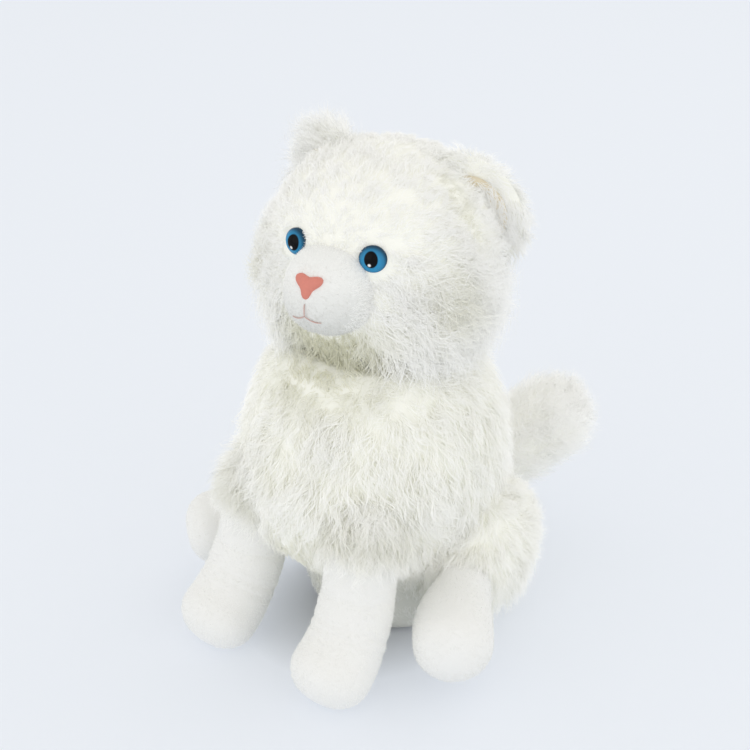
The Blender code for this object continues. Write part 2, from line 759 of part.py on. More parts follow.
for name, side in (("left", 1), ("right", -1)):
    shoulder = Vector((side * SHOULDER_OUT, SHOULDER_FRONT, SHOULDER_HEIGHT))
    pivot = empty(f"shoulder_{name}", root, shoulder)
    leg_turn = Matrix.Rotation(-FRONT_LEG_LEAN, 3, "X") @ Matrix.Rotation(-side * FRONT_LEG_SPLAY, 3, "Y")
    leg_side, leg_back, leg_way = leg_turn @ X_AXIS, leg_turn @ Y_AXIS, leg_turn @ -Z_AXIS
    rows = []
    for i in range(9):
        if i < 5:
            angle = math.pi / 2 * (i / 4 - 1)
            along, radius = SHOULDER_RADIUS * math.sin(angle), SHOULDER_RADIUS * math.cos(angle)
        else:
            share = (i - 4) / 4
            along = SLEEVE_LENGTH * share
            radius = SHOULDER_RADIUS + (SLEEVE_HEM_RADIUS - SHOULDER_RADIUS) * share
        centre = shoulder + leg_way * along
        rows.append(ring(centre, leg_side, leg_back, radius if i else 0, radius, LIMB_SIDES))
    sleeve = solid(f"front_leg_{name}", rows, FUR)

    rows = []
    tube = LEG_LENGTH - SLEEVE_LENGTH - FIT
    for share in (0, 0.5, 1):
        centre = shoulder + leg_way * (SLEEVE_LENGTH + FIT + tube * share)
        rows.append(ring(centre, leg_side, leg_back, FRONT_PAW_RADIUS, FRONT_PAW_RADIUS, LIMB_SIDES))
    heel = shoulder + leg_way * LEG_LENGTH
    for angle in (math.radians(30), math.radians(60), math.pi / 2):
        radius = FRONT_PAW_RADIUS * math.cos(angle) if angle < 1.5 else 0
        centre = heel + leg_way * (FRONT_FOOT_HALF_HEIGHT * 0.95 * math.sin(angle))
        rows.append(ring(centre, leg_side, leg_back, radius, radius, LIMB_SIDES))
    paw = solid(f"front_paw_{name}", rows, SHORT_PILE)
    foot_place = Matrix.Translation((heel.x, FRONT_FOOT_Y, FRONT_FOOT_HALF_HEIGHT - FLOOR_FLAT))
    foot = ellipsoid(
        f"front_foot_{name}",
        foot_place,
        (FRONT_FOOT_HALF_WIDTH, FRONT_FOOT_HALF_LENGTH, FRONT_FOOT_HALF_HEIGHT),
        SHORT_PILE,
    )
    floor = floor_cut(f"front_floor_{name}")
    weld(paw, foot)
    carve(paw, floor)
    hang(pivot, sleeve, paw, foot, floor)

    reach = SHOULDER_RADIUS + 1.5 * SOFT_RUN
    half_lift = FRONT_LEG_LIFT / 2
    room_turn = Matrix.Rotation(-FRONT_LEG_LEAN - half_lift, 3, "X")
    room_way, room_up = room_turn @ -Z_AXIS, room_turn @ Y_AXIS
    rows = []
    for share in (0, 0.25, 0.5, 0.75, 1):
        a = -math.pi / 2 + (math.pi / 2 - half_lift) * share
        radius = reach * math.cos(a) if share else 0
        centre = shoulder + room_way * (reach * math.sin(a))
        rows.append(ring(centre, X_AXIS, room_up, radius, radius, LIMB_SIDES))
    for along in (0, 2 * SLEEVE_LENGTH):
        tall = reach / math.cos(half_lift) + along * math.tan(half_lift)
        wide = reach + along * math.sin(FRONT_LEG_SPLAY)
        rows.append(ring(shoulder + room_way * along, X_AXIS, room_up, wide, tall, LIMB_SIDES))
    leg_room = solid(f"leg_room_{name}", rows, FUR)
    hang(root, leg_room)
    carve(torso, leg_room)


# Hind legs: a haunch with a round boss seated in the body's side, and a short-pile paw

for name, side in (("left", 1), ("right", -1)):
    hip = Vector((side * HIP_FACE, HIP_BACK, HIP_HEIGHT))
    pivot = empty(f"hip_{name}", root, hip)
    thigh_place = Matrix.Translation(hip + Vector((side * THIGH_BELLY, 0, -FLOOR_FLAT)))
    thigh_sizes = (THIGH_HALF_WIDTH, THIGH_HALF_LENGTH, HIP_HEIGHT)
    thigh = ellipsoid(f"thigh_{name}", thigh_place, thigh_sizes, FUR, 28, 12)
    inside = block(f"thigh_inside_{name}", (-0.1, -0.2, -0.1), (0, 0.2, 0.2), FUR)
    inside.data.transform(Matrix.Translation((HIP_FACE, 0, 0)))
    if side < 0:
        inside.data.transform(Matrix.Rotation(math.pi, 4, "Z"))
    floor = floor_cut(f"thigh_floor_{name}")
    boss_place = face_along(hip, (side, 0, 0))
    thigh_sweep = max(THIGH_HALF_LENGTH, HIP_HEIGHT) + 2 * SOFT_RUN
    boss = lathe(
        f"hip_boss_{name}",
        [(0, -HIP_BOSS_DEPTH), (HIP_BOSS_RADIUS, -HIP_BOSS_DEPTH), (HIP_BOSS_RADIUS, 0.01), (0, 0.01)],
        boss_place,
        FUR,
    )
    seat = lathe(
        f"hip_seat_{name}",
        [
            (0, -HIP_BOSS_DEPTH - SOFT_RUN),
            (HIP_BOSS_RADIUS + SOFT_RUN, -HIP_BOSS_DEPTH - SOFT_RUN),
            (HIP_BOSS_RADIUS + SOFT_RUN, -SOFT_RUN),
            (thigh_sweep, -SOFT_RUN),
            (thigh_sweep, THIGH_HALF_WIDTH),
            (0, THIGH_HALF_WIDTH),
        ],
        boss_place,
        FUR,
    )
    carve(thigh, inside, floor)
    weld(thigh, boss)
    carve(torso, seat)
    hang(root, seat)
    hang(pivot, thigh, inside, floor, boss)

    paw_way = Vector(
        (
            side * math.sin(HIND_PAW_SPLAY) * math.cos(HIND_PAW_DROP),
            -math.cos(HIND_PAW_SPLAY) * math.cos(HIND_PAW_DROP),
            -math.sin(HIND_PAW_DROP),
        )
    )
    start = Vector((hip.x + side * HIND_PAW_OUT, -HIND_PAW_FORWARD, HIND_PAW_HEIGHT))
    paw_side = paw_way.cross(Z_AXIS).normalized()
    paw_up = paw_side.cross(paw_way)
    rows = []
    for angle in (-90, -60, -30):
        a = math.radians(angle)
        radius = HIND_PAW_RADIUS * math.cos(a) if angle > -90 else 0
        centre = start + paw_way * (HIND_PAW_RADIUS * math.sin(a))
        rows.append(ring(centre, paw_side, paw_up, radius, radius, LIMB_SIDES))
    shaft = HIND_PAW_REACH - HIND_PAW_RADIUS
    for share in (0, 0.5, 1):
        centre = start + paw_way * (shaft * share)
        rows.append(ring(centre, paw_side, paw_up, HIND_PAW_RADIUS, HIND_PAW_RADIUS, LIMB_SIDES))
    for angle in (25, 48, 70, 90):
        a = math.radians(angle)
        radius = HIND_PAW_RADIUS * math.cos(a) if angle < 90 else 0
        centre = start + paw_way * (shaft + HIND_PAW_RADIUS * math.sin(a))
        rows.append(ring(centre, paw_side, paw_up, radius, radius, LIMB_SIDES))
    hind_paw = solid(f"hind_paw_{name}", rows, SHORT_PILE)
    grown = [size + FIT for size in thigh_sizes]
    thigh_for_paw = ellipsoid(f"thigh_for_paw_{name}", thigh_place, grown, FUR, 28, 12)
    paw_inside = block(f"paw_inside_{name}", (-0.1, -0.2, -0.1), (0, 0.2, 0.2), FUR)
    paw_inside.data.transform(Matrix.Translation((HIND_PAW_INSIDE, 0, 0)))
    if side < 0:
        paw_inside.data.transform(Matrix.Rotation(math.pi, 4, "Z"))
    paw_floor = floor_cut(f"hind_floor_{name}")
    carve(hind_paw, thigh_for_paw, paw_inside, paw_floor)
    hang(pivot, hind_paw, thigh_for_paw, paw_inside, paw_floor)



# Tail: a stuffed tube with a round root seated in the back

tail_root = Vector((0, TAIL_ROOT, TAIL_HEIGHT))
tail_pivot = empty("tail_axis", root, tail_root)
rows = []
for angle in (-90, -60, -30):
    a = math.radians(angle)
    radius = TAIL_BASE_RADIUS * math.cos(a) if angle > -90 else 0
    centre = tail_root + Y_AXIS * (TAIL_BASE_RADIUS * math.sin(a))
    rows.append(ring(centre, X_AXIS, Z_AXIS, radius, radius, LIMB_SIDES))
tail_run = TAIL_LENGTH - TAIL_THICK_RADIUS
for share in (0, 0.25, 0.5, 0.75, 1):
    radius = TAIL_BASE_RADIUS + (TAIL_THICK_RADIUS - TAIL_BASE_RADIUS) * math.sin(math.pi / 2 * share)
    centre = tail_root + Vector((TAIL_CURL * share**2, tail_run * share, TAIL_RISE * share**2))
    way = Vector((2 * TAIL_CURL * share, tail_run, 2 * TAIL_RISE * share)).normalized()
    across = way.cross(Z_AXIS).normalized()
    rows.append(ring(centre, across, across.cross(way), radius, radius, LIMB_SIDES))
for angle in (25, 48, 70, 90):
    a = math.radians(angle)
    radius = TAIL_THICK_RADIUS * math.cos(a) if angle < 90 else 0
    tip = centre + way * (TAIL_THICK_RADIUS * math.sin(a))
    rows.append(ring(tip, across, across.cross(way), radius, radius, LIMB_SIDES))
tail = solid("tail", rows, FUR)
seat_radius = TAIL_BASE_RADIUS + SOFT_RUN
seat_turns = [-math.pi / 2 + (math.pi / 2 - TAIL_SWING) * share for share in (0.25, 0.5, 0.75, 1)]
seat_mouth = (seat_radius + TAIL_ROOM) / math.cos(TAIL_SWING) + TAIL_BASE_RADIUS * math.tan(TAIL_SWING)
tail_seat = lathe(
    "tail_seat",
    [(0, -seat_radius)]
    + [(seat_radius * math.cos(a), seat_radius * math.sin(a)) for a in seat_turns]
    + [(seat_mouth, TAIL_BASE_RADIUS), (0, TAIL_BASE_RADIUS)],
    face_along(tail_root, Y_AXIS),
    FUR,
    LIMB_SIDES,
)
hang(tail_pivot, tail)
hang(root, tail_seat)
carve(torso, tail_seat)


# Motor box: a base with the battery bay below and a cover with the neck drive on top


def rounded(half_width, front, back, corner, steps=4):
    """A rectangle with round corners."""
    points = []
    corners = (
        (half_width, back, 0),
        (-half_width, back, 90),
        (-half_width, front, 180),
        (half_width, front, 270),
    )
    for x, y, turn in corners:
        centre_x = x - math.copysign(corner, x)
        centre_y = y - corner if y == back else y + corner
        for i in range(steps + 1):
            a = math.radians(turn + 90 * i / steps)
            points.append((centre_x + corner * math.cos(a), centre_y + corner * math.sin(a)))
    return points


IN_HALF = CASE_HALF - CASE_WALL
IN_FRONT = CASE_FRONT + CASE_WALL
IN_BACK = CASE_BACK - CASE_WALL
IN_CORNER = CASE_CORNER - CASE_WALL
outer = rounded(CASE_HALF, CASE_FRONT, CASE_BACK, CASE_CORNER)
inner = rounded(IN_HALF, IN_FRONT, IN_BACK, IN_CORNER)
BAY_FLOOR = CASE_BOTTOM + DOOR_THICK
BAY_TOP = BAY_FLOOR + BAY_HEIGHT
TRAY = BAY_TOP + CASE_WALL
CELL_Z = BAY_FLOOR + FIT + CELL_RADIUS + RUN
BAY_BACK = IN_FRONT + CELL_PITCH * CELL_COUNT + FIT
SLOT_FRONT = BAY_BACK + CASE_WALL

case_base = prism("case_base", outer, CASE_BOTTOM, CASE_SPLIT, Matrix(), CASE_ABS)
tray_room = prism("tray_room", inner, TRAY, CASE_SPLIT + 0.01, Matrix(), CASE_ABS)
bay_room = block("bay_room", (-IN_HALF, IN_FRONT, BAY_FLOOR), (IN_HALF, BAY_BACK, BAY_TOP), CASE_ABS)
DOOR_FRONT = IN_FRONT + BAY_RIM / 2
DOOR_HALF = DOOR_WIDTH / 2
door_room = block(
    "door_room",
    (-DOOR_HALF - RUN, DOOR_FRONT - RUN, CASE_BOTTOM - 0.01),
    (DOOR_HALF + RUN, DOOR_FRONT + DOOR_LENGTH + RUN, BAY_FLOOR + FIT),
    CASE_ABS,
)
switch_room = block(
    "switch_room",
    (-SWITCH_ROOM / 2, SLOT_FRONT, BAY_FLOOR),
    (SWITCH_ROOM / 2, IN_BACK, TRAY + 0.001),
    CASE_ABS,
)
SLIDER_Y = (SLOT_FRONT + IN_BACK) / 2
slider_slot = block(
    "slider_slot",
    (
        -SLIDER_LENGTH / 2 - SWITCH_TRAVEL / 2 - RUN,
        SLIDER_Y - SLIDER_DEPTH / 2 - FIT,
        CASE_BOTTOM - 0.01,
    ),
    (
        SLIDER_LENGTH / 2 + SWITCH_TRAVEL / 2 + RUN,
        SLIDER_Y + SLIDER_DEPTH / 2 + FIT,
        BAY_FLOOR + 0.001,
    ),
    CASE_ABS,
)
carve(case_base, tray_room, bay_room, door_room, switch_room, slider_slot)
hang(root, case_base, tray_room, bay_room, door_room, switch_room, slider_slot)

BOARD_LOW = TRAY + BOARD_POST
for i, (x, y) in enumerate(((1, 1), (-1, 1), (-1, -1), (1, -1))):
    post = lathe(
        f"board_post_{i + 1}",
        [(0, TRAY - 0.001), (2 * MM, TRAY - 0.001), (2 * MM, BOARD_LOW - FIT), (0, BOARD_LOW - FIT)],
        Matrix.Translation((x * (BOARD_WIDTH / 2 - 4 * MM), CASE_MIDDLE + y * (BOARD_DEPTH / 2 - 4 * MM), 0)),
        CASE_ABS,
        8,
    )
    weld(case_base, post)
    hang(root, post)

case_cover = prism("case_cover", outer, CASE_SPLIT + FIT, CASE_TOP, Matrix(), CASE_ABS)
cover_room = prism("cover_room", inner, CASE_SPLIT - 0.01, CASE_TOP - CASE_WALL, Matrix(), CASE_ABS)
bush_hole = lathe(
    "bush_hole",
    [
        (0, CASE_TOP - 0.01),
        (BUSH_RADIUS + FIT, CASE_TOP - 0.01),
        (BUSH_RADIUS + FIT, CASE_TOP + 0.01),
        (0, CASE_TOP + 0.01),
    ],
    Matrix(),
    CASE_ABS,
)
button_hole = lathe(
    "button_hole",
    [(0, -0.01), (BUTTON_STEM_RADIUS + RUN, -0.01), (BUTTON_STEM_RADIUS + RUN, 0.01), (0, 0.01)],
    BUTTON_PLACE,
    CASE_ABS,
    SMALL_SIDES,
)
carve(case_cover, cover_room, bush_hole, button_hole)
hang(root, case_cover, cover_room, bush_hole, button_hole)
for i in range(GRILLE_COUNT):
    off = (i - (GRILLE_COUNT - 1) / 2) * GRILLE_PITCH
    half = math.sqrt((SPEAKER_RADIUS * 0.82) ** 2 - off**2)
    slot = block(
        f"grille_{i + 1}",
        (-half, CASE_FRONT - 0.01, SPEAKER_HEIGHT + off - GRILLE_SLOT / 2),
        (half, IN_FRONT + 0.001, SPEAKER_HEIGHT + off + GRILLE_SLOT / 2),
        CASE_ABS,
    )
    carve(case_cover, slot)
    hang(root, slot)

DECK_TOP = DECK_HEIGHT + DECK_THICK
for i, (x, y) in enumerate(((1, 1), (-1, 1), (-1, -1), (1, -1))):
    at_x = x * (IN_HALF - DECK_POST_INSET)
    at_y = (IN_BACK - DECK_POST_INSET) if y > 0 else (IN_FRONT + DECK_POST_INSET)
    post = lathe(
        f"deck_post_{i + 1}",
        [
            (0, DECK_TOP + FIT),
            (DECK_POST_RADIUS, DECK_TOP + FIT),
            (DECK_POST_RADIUS, CASE_TOP - CASE_WALL / 2),
            (0, CASE_TOP - CASE_WALL / 2),
        ],
        Matrix.Translation((at_x, at_y, 0)),
        CASE_ABS,
        8,
    )
    weld(case_cover, post)
    hang(root, post)

PURR_X = -PURR_OUT
shelf = block(
    "purr_shelf",
    (-CASE_HALF + CASE_WALL / 2, PURR_FRONT, CASE_SPLIT + CASE_WALL),
    (PURR_X + PURR_RADIUS, PURR_FRONT + PURR_LENGTH, PURR_HEIGHT - PURR_RADIUS - FIT),
    CASE_ABS,
)
TOUCH_BACK = CASE_BACK - CASE_WALL - FIT - BUTTON_COLLAR_THICK - BUTTON_TRAVEL - RUN
weld(case_cover, shelf)
hang(root, shelf)
for i, side in enumerate((-1, 1)):
    near = BUTTON_OUT + side * (TOUCH_SIZE / 2 + FIT)
    far = near + side * CASE_WALL
    rib = block(
        f"touch_rib_{i + 1}",
        (min(near, far), TOUCH_BACK - TOUCH_THICK, BUTTON_HEIGHT - TOUCH_SIZE / 2),
        (max(near, far), CASE_BACK - CASE_WALL / 2, BUTTON_HEIGHT + TOUCH_SIZE / 2),
        CASE_ABS,
    )
    weld(case_cover, rib)
    hang(root, rib)

number = 0
for x in (1, -1):
    for y in (1, -1):
        number += 1
        at_y = CASE_MIDDLE + y * LUG_SPREAD / 2
        sides_x = sorted((x * (CASE_HALF - CASE_WALL / 2), x * (CASE_HALF + LUG_REACH)))
        base_lug = block(
            f"base_lug_{number}",
            (sides_x[0], at_y - LUG_WIDTH / 2, LUG_LOW),
            (sides_x[1], at_y + LUG_WIDTH / 2, CASE_SPLIT),
            CASE_ABS,
        )
        cover_lug = block(
            f"cover_lug_{number}",
            (sides_x[0], at_y - LUG_WIDTH / 2, CASE_SPLIT + FIT),
            (sides_x[1], at_y + LUG_WIDTH / 2, LUG_HIGH),
            CASE_ABS,
        )
        place = Matrix.Translation((x * (CASE_HALF + LUG_REACH / 2), at_y, 0))
        screw_top = CASE_SPLIT + SCREW_BITE
        hole_radius = SCREW_RADIUS + FIT
        screw_hole = lathe(
            f"screw_hole_{number}",
            [
                (0, LUG_LOW - 0.01),
                (hole_radius, LUG_LOW - 0.01),
                (hole_radius, screw_top + RUN),
                (0, screw_top + RUN),
            ],
            place,
            CASE_ABS,
            8,
        )
        head_low = LUG_LOW - FIT - SCREW_HEAD_THICK
        screw = lathe(
            f"case_screw_{number}",
            [
                (0, head_low),
                (SCREW_HEAD_RADIUS, head_low),
                (SCREW_HEAD_RADIUS, LUG_LOW - FIT),
                (SCREW_RADIUS, LUG_LOW - FIT),
                (SCREW_RADIUS, screw_top),
                (0, screw_top),
            ],
            place,
            STEEL,
            SMALL_SIDES,
        )
        weld(case_base, base_lug)
        weld(case_cover, cover_lug)
        carve(case_base, screw_hole)
        carve(case_cover, screw_hole)
        hang(root, base_lug, cover_lug, screw_hole, screw)


# Batteries, their contact strips and the hinged door

for i in range(CELL_COUNT):
    turned = 1 if i % 2 == 0 else -1
    cell_y = IN_FRONT + CELL_PITCH * (i + 0.5)
    place = face_along((-turned * CELL_LENGTH / 2, cell_y, CELL_Z), (turned, 0, 0))
    can = CELL_LENGTH - CELL_NIPPLE
    cell = lathe(
        f"battery_{i + 1}",
        [
            (0, 0),
            (CELL_RADIUS, 0),
            (CELL_RADIUS, can),
            (CELL_NIPPLE_RADIUS, can),
            (CELL_NIPPLE_RADIUS, CELL_LENGTH),
            (0, CELL_LENGTH),
        ],
        place,
        CELL_WRAP,
        16,
    )
    hang(root, cell)

for name, side in (("left", 1), ("right", -1)):
    near = side * (IN_HALF - FIT - CONTACT_THICK)
    far = side * (IN_HALF - FIT)
    strip = block(
        f"contact_{name}",
        (min(near, far), IN_FRONT + RUN, CELL_Z - CONTACT_HEIGHT / 2),
        (max(near, far), BAY_BACK - RUN, CELL_Z + CONTACT_HEIGHT / 2),
        COPPER,
    )
    hang(root, strip)
    bump_height = IN_HALF - FIT - CONTACT_THICK - CELL_LENGTH / 2 - FIT
    for i in range(CELL_COUNT):
        place = face_along((near, IN_FRONT + CELL_PITCH * (i + 0.5), CELL_Z), (-side, 0, 0))
        bump = lathe(
            f"contact_bump_{name}_{i + 1}",
            [
                (0, -CONTACT_THICK / 2),
                (4 * MM, -CONTACT_THICK / 2),
                (4 * MM, 0),
                (2 * MM, bump_height),
                (0, bump_height),
            ],
            place,
            COPPER,
            8,
        )
        weld(strip, bump)
        hang(root, bump)

door_axis = Vector((0, DOOR_FRONT, CASE_BOTTOM))
door_pivot = empty("door_hinge", root, door_axis)
DOOR_BACK = DOOR_FRONT + DOOR_LENGTH
battery_door = block(
    "battery_door",
    (-DOOR_HALF, DOOR_FRONT, CASE_BOTTOM),
    (DOOR_HALF, DOOR_BACK, BAY_FLOOR),
    CASE_ABS,
)
TONGUE_END = IN_BACK - RUN
tongue = block(
    "door_tongue",
    (TONGUE_OUT - TONGUE_WIDTH / 2, DOOR_BACK - DOOR_THICK, CASE_BOTTOM),
    (TONGUE_OUT + TONGUE_WIDTH / 2, TONGUE_END, BAY_FLOOR),
    CASE_ABS,
)
tongue_room = block(
    "tongue_room",
    (TONGUE_OUT - TONGUE_WIDTH / 2 - RUN, DOOR_BACK - DOOR_THICK, CASE_BOTTOM - 0.01),
    (TONGUE_OUT + TONGUE_WIDTH / 2 + RUN, TONGUE_END + RUN, BAY_FLOOR + FIT),
    CASE_ABS,
)
DOOR_SCREW_Y = (BAY_BACK + TONGUE_END) / 2
door_screw_place = Matrix.Translation((TONGUE_OUT, DOOR_SCREW_Y, 0))
door_screw_top = BAY_FLOOR + DOOR_SCREW_BITE
door_screw = lathe(
    "door_screw",
    [
        (0, CASE_BOTTOM - FIT - DOOR_SCREW_HEAD),
        (SCREW_HEAD_RADIUS, CASE_BOTTOM - FIT - DOOR_SCREW_HEAD),
        (SCREW_HEAD_RADIUS, CASE_BOTTOM - FIT),
        (SCREW_RADIUS, CASE_BOTTOM - FIT),
        (SCREW_RADIUS, door_screw_top),
        (0, door_screw_top),
    ],
    door_screw_place,
    STEEL,
    SMALL_SIDES,
)
door_screw_hole = lathe(
    "door_screw_hole",
    [
        (0, CASE_BOTTOM - 0.01),
        (SCREW_RADIUS + FIT, CASE_BOTTOM - 0.01),
        (SCREW_RADIUS + FIT, BAY_FLOOR + 0.01),
        (0, BAY_FLOOR + 0.01),
    ],
    door_screw_place,
    CASE_ABS,
    8,
)
screw_pull = SCREW_RADIUS + SCREW_SWING
door_screw_bite = lathe(
    "door_screw_bite",
    [
        (0, CASE_BOTTOM - 0.01),
        (screw_pull, CASE_BOTTOM - 0.01),
        (screw_pull, door_screw_top + RUN),
        (0, door_screw_top + RUN),
    ],
    door_screw_place,
    CASE_ABS,
    8,
)
weld(battery_door, tongue)
carve(battery_door, door_screw_hole)
hang(door_pivot, battery_door, tongue, door_screw, door_screw_hole)
for i, side in enumerate((-1, 1)):
    hook_x = side * DOOR_HALF / 2
    riser = block(
        f"hook_riser_{i + 1}",
        (hook_x - HOOK_WIDTH / 2, DOOR_FRONT, CASE_BOTTOM + DOOR_THICK / 2),
        (hook_x + HOOK_WIDTH / 2, DOOR_FRONT + HOOK_REACH, BAY_FLOOR + 3 * FIT + HOOK_THICK),
        CASE_ABS,
    )
    hook = block(
        f"hook_{i + 1}",
        (hook_x - HOOK_WIDTH / 2, IN_FRONT + FIT, BAY_FLOOR + 3 * FIT),
        (hook_x + HOOK_WIDTH / 2, DOOR_FRONT + HOOK_REACH / 2, BAY_FLOOR + 3 * FIT + HOOK_THICK),
        CASE_ABS,
    )
    weld(battery_door, riser, hook)
    hang(door_pivot, riser, hook)
carve(case_base, tongue_room, door_screw_bite)
hang(root, tongue_room, door_screw_bite)


# Power switch under the base, with its slider in the slot

SWITCH_LOW = BAY_FLOOR + FIT + SLIDER_PLATE + FIT
power_switch = block(
    "power_switch",
    (-SWITCH_LENGTH / 2, SLOT_FRONT + FIT, SWITCH_LOW),
    (SWITCH_LENGTH / 2, IN_BACK - FIT, SWITCH_LOW + SWITCH_HEIGHT),
    DARK_ABS,
)
SLIDER_X = -SWITCH_TRAVEL / 2
slider_pivot = empty("switch_slide", root, (SLIDER_X, SLIDER_Y, CASE_BOTTOM))
switch_slider = block(
    "switch_slider",
    (SLIDER_X - SLIDER_LENGTH / 2, SLIDER_Y - SLIDER_DEPTH / 2, CASE_BOTTOM - SLIDER_STICKS_OUT),
    (SLIDER_X + SLIDER_LENGTH / 2, SLIDER_Y + SLIDER_DEPTH / 2, BAY_FLOOR + FIT + SLIDER_PLATE / 2),
    DARK_ABS,
)
slider_plate = block(
    "slider_plate",
    (SLIDER_X - SLIDER_LENGTH / 2 - 1.5 * MM, SLOT_FRONT + FIT, BAY_FLOOR + FIT),
    (SLIDER_X + SLIDER_LENGTH / 2 + 1.5 * MM, IN_BACK - FIT, BAY_FLOOR + FIT + SLIDER_PLATE),
    DARK_ABS,
)
weld(switch_slider, slider_plate)
hang(root, power_switch)
hang(slider_pivot, switch_slider, slider_plate)


# Circuit board on the tray's posts

circuit_board = block(
    "circuit_board",
    (-BOARD_WIDTH / 2, CASE_MIDDLE - BOARD_DEPTH / 2, BOARD_LOW),
    (BOARD_WIDTH / 2, CASE_MIDDLE + BOARD_DEPTH / 2, BOARD_LOW + BOARD_THICK),
    BOARD_GREEN,
)
hang(root, circuit_board)
BOARD_TOP = BOARD_LOW + BOARD_THICK
chips = (
    ("voice_chip", -VOICE_CHIP_OUT, VOICE_CHIP_BACK, VOICE_CHIP_SIZE, VOICE_CHIP_SIZE, VOICE_CHIP_THICK),
    ("motor_chip", MOTOR_CHIP_OUT, -MOTOR_CHIP_FRONT, MOTOR_CHIP_WIDTH, MOTOR_CHIP_DEPTH, MOTOR_CHIP_THICK),
    ("plug", -PLUG_OUT, -PLUG_FRONT, PLUG_WIDTH, PLUG_SIZE, PLUG_SIZE),
)
CHIP_LOW = BOARD_LOW + BOARD_THICK / 2
for name, x, y, wide, deep, tall in chips:
    chip = block(
        name,
        (x - wide / 2, CASE_MIDDLE + y - deep / 2, CHIP_LOW),
        (x + wide / 2, CASE_MIDDLE + y + deep / 2, BOARD_TOP + tall),
        DARK_ABS,
    )
    weld(circuit_board, chip)
    hang(root, chip)
for i in range(2):
    can_top = BOARD_TOP + CAPACITOR_HEIGHT
    capacitor = lathe(
        f"capacitor_{i + 1}",
        [(0, CHIP_LOW), (CAPACITOR_RADIUS, CHIP_LOW), (CAPACITOR_RADIUS, can_top), (0, can_top)],
        Matrix.Translation((CAPACITOR_OUT, CASE_MIDDLE + CAPACITOR_BACK - i * CAPACITOR_PITCH, 0)),
        DARK_ABS,
        SMALL_SIDES,
    )
    weld(circuit_board, capacitor)
    hang(root, capacitor)


# Speaker behind the grille

speaker_place = face_along((0, IN_FRONT, SPEAKER_HEIGHT), Y_AXIS)
CONE_RADIUS = SPEAKER_RADIUS - 3 * MM
speaker = lathe(
    "speaker",
    [
        (0, SPEAKER_THICK - 2 * MM),
        (SPEAKER_MAGNET_RADIUS - 2 * MM, SPEAKER_THICK - 2 * MM),
        (CONE_RADIUS, 2 * MM),
        (CONE_RADIUS, FIT),
        (SPEAKER_RADIUS, FIT),
        (SPEAKER_RADIUS, 3 * MM),
        (SPEAKER_MAGNET_RADIUS + 1 * MM, SPEAKER_THICK),
        (SPEAKER_MAGNET_RADIUS, SPEAKER_THICK),
        (SPEAKER_MAGNET_RADIUS, SPEAKER_THICK + SPEAKER_MAGNET),
        (0, SPEAKER_THICK + SPEAKER_MAGNET),
    ],
    speaker_place,
    STEEL,
)
speaker_cone = lathe(
    "speaker_cone",
    [
        (0, SPEAKER_THICK - 5 * MM),
        (4 * MM, SPEAKER_THICK - 4.4 * MM),
        (CONE_RADIUS - FIT, 0.6 * MM),
        (CONE_RADIUS - FIT, 1.4 * MM),
        (4 * MM, SPEAKER_THICK - 3.4 * MM),
        (0, SPEAKER_THICK - 3.4 * MM),
    ],
    speaker_place,
    CONE_PAPER,
)
hang(root, speaker, speaker_cone)


# Purr motor on its shelf, with an off-centre weight

purr_place = face_along((PURR_X, PURR_FRONT, PURR_HEIGHT), Y_AXIS)
purr_motor = lathe(
    "purr_motor",
    [
        (0, 0),
        (PURR_RADIUS, 0),
        (PURR_RADIUS, PURR_LENGTH),
        (PURR_SHAFT_RADIUS + RUN, PURR_LENGTH),
        (PURR_SHAFT_RADIUS + RUN, PURR_LENGTH - PURR_SHAFT_IN - RUN),
        (0, PURR_LENGTH - PURR_SHAFT_IN - RUN),
    ],
    purr_place,
    STEEL,
    16,
)
weight_outline = [
    (-PURR_WEIGHT_RADIUS * math.cos(math.pi * i / 10), -PURR_WEIGHT_RADIUS * math.sin(math.pi * i / 10))
    for i in range(11)
] + [(2 * MM * math.cos(math.pi * i / 4), 2 * MM * math.sin(math.pi * i / 4)) for i in range(5)]
WEIGHT_LOW = PURR_LENGTH + 2 * RUN
weight_high = WEIGHT_LOW + PURR_WEIGHT_THICK
purr_weight = prism("purr_weight", weight_outline, WEIGHT_LOW, weight_high, purr_place, STEEL)
purr_shaft = lathe(
    "purr_shaft",
    [
        (0, PURR_LENGTH - PURR_SHAFT_IN),
        (PURR_SHAFT_RADIUS, PURR_LENGTH - PURR_SHAFT_IN),
        (PURR_SHAFT_RADIUS, WEIGHT_LOW + PURR_WEIGHT_THICK / 2),
        (0, WEIGHT_LOW + PURR_WEIGHT_THICK / 2),
    ],
    purr_place,
    STEEL,
    SMALL_SIDES,
)
purr_pivot = empty("purr_axis", root, purr_place.to_translation())
weld(purr_weight, purr_shaft)
hang(root, purr_motor)
hang(purr_pivot, purr_weight, purr_shaft)


# Petting button through the box's back wall, and the switch it presses

button_pivot = empty("button_slide", root, BUTTON_PLACE.to_translation())
collar_low = -CASE_WALL - FIT - BUTTON_COLLAR_THICK
pet_button = lathe(
    "pet_button",
    [
        (0, collar_low),
        (BUTTON_COLLAR_RADIUS, collar_low),
        (BUTTON_COLLAR_RADIUS, -CASE_WALL - FIT),
        (BUTTON_STEM_RADIUS, -CASE_WALL - FIT),
        (BUTTON_STEM_RADIUS, BUTTON_CAP_LOW),
        (BUTTON_RADIUS, BUTTON_CAP_LOW),
        (BUTTON_RADIUS, BUTTON_CAP_HIGH),
        (0, BUTTON_CAP_HIGH),
    ],
    BUTTON_PLACE,
    ACETAL,
    SMALL_SIDES,
)
touch_switch = block(
    "touch_switch",
    (BUTTON_OUT - TOUCH_SIZE / 2, TOUCH_BACK - TOUCH_THICK, BUTTON_HEIGHT - TOUCH_SIZE / 2),
    (BUTTON_OUT + TOUCH_SIZE / 2, TOUCH_BACK, BUTTON_HEIGHT + TOUCH_SIZE / 2),
    BOARD_GREEN,
)
hang(button_pivot, pet_button)
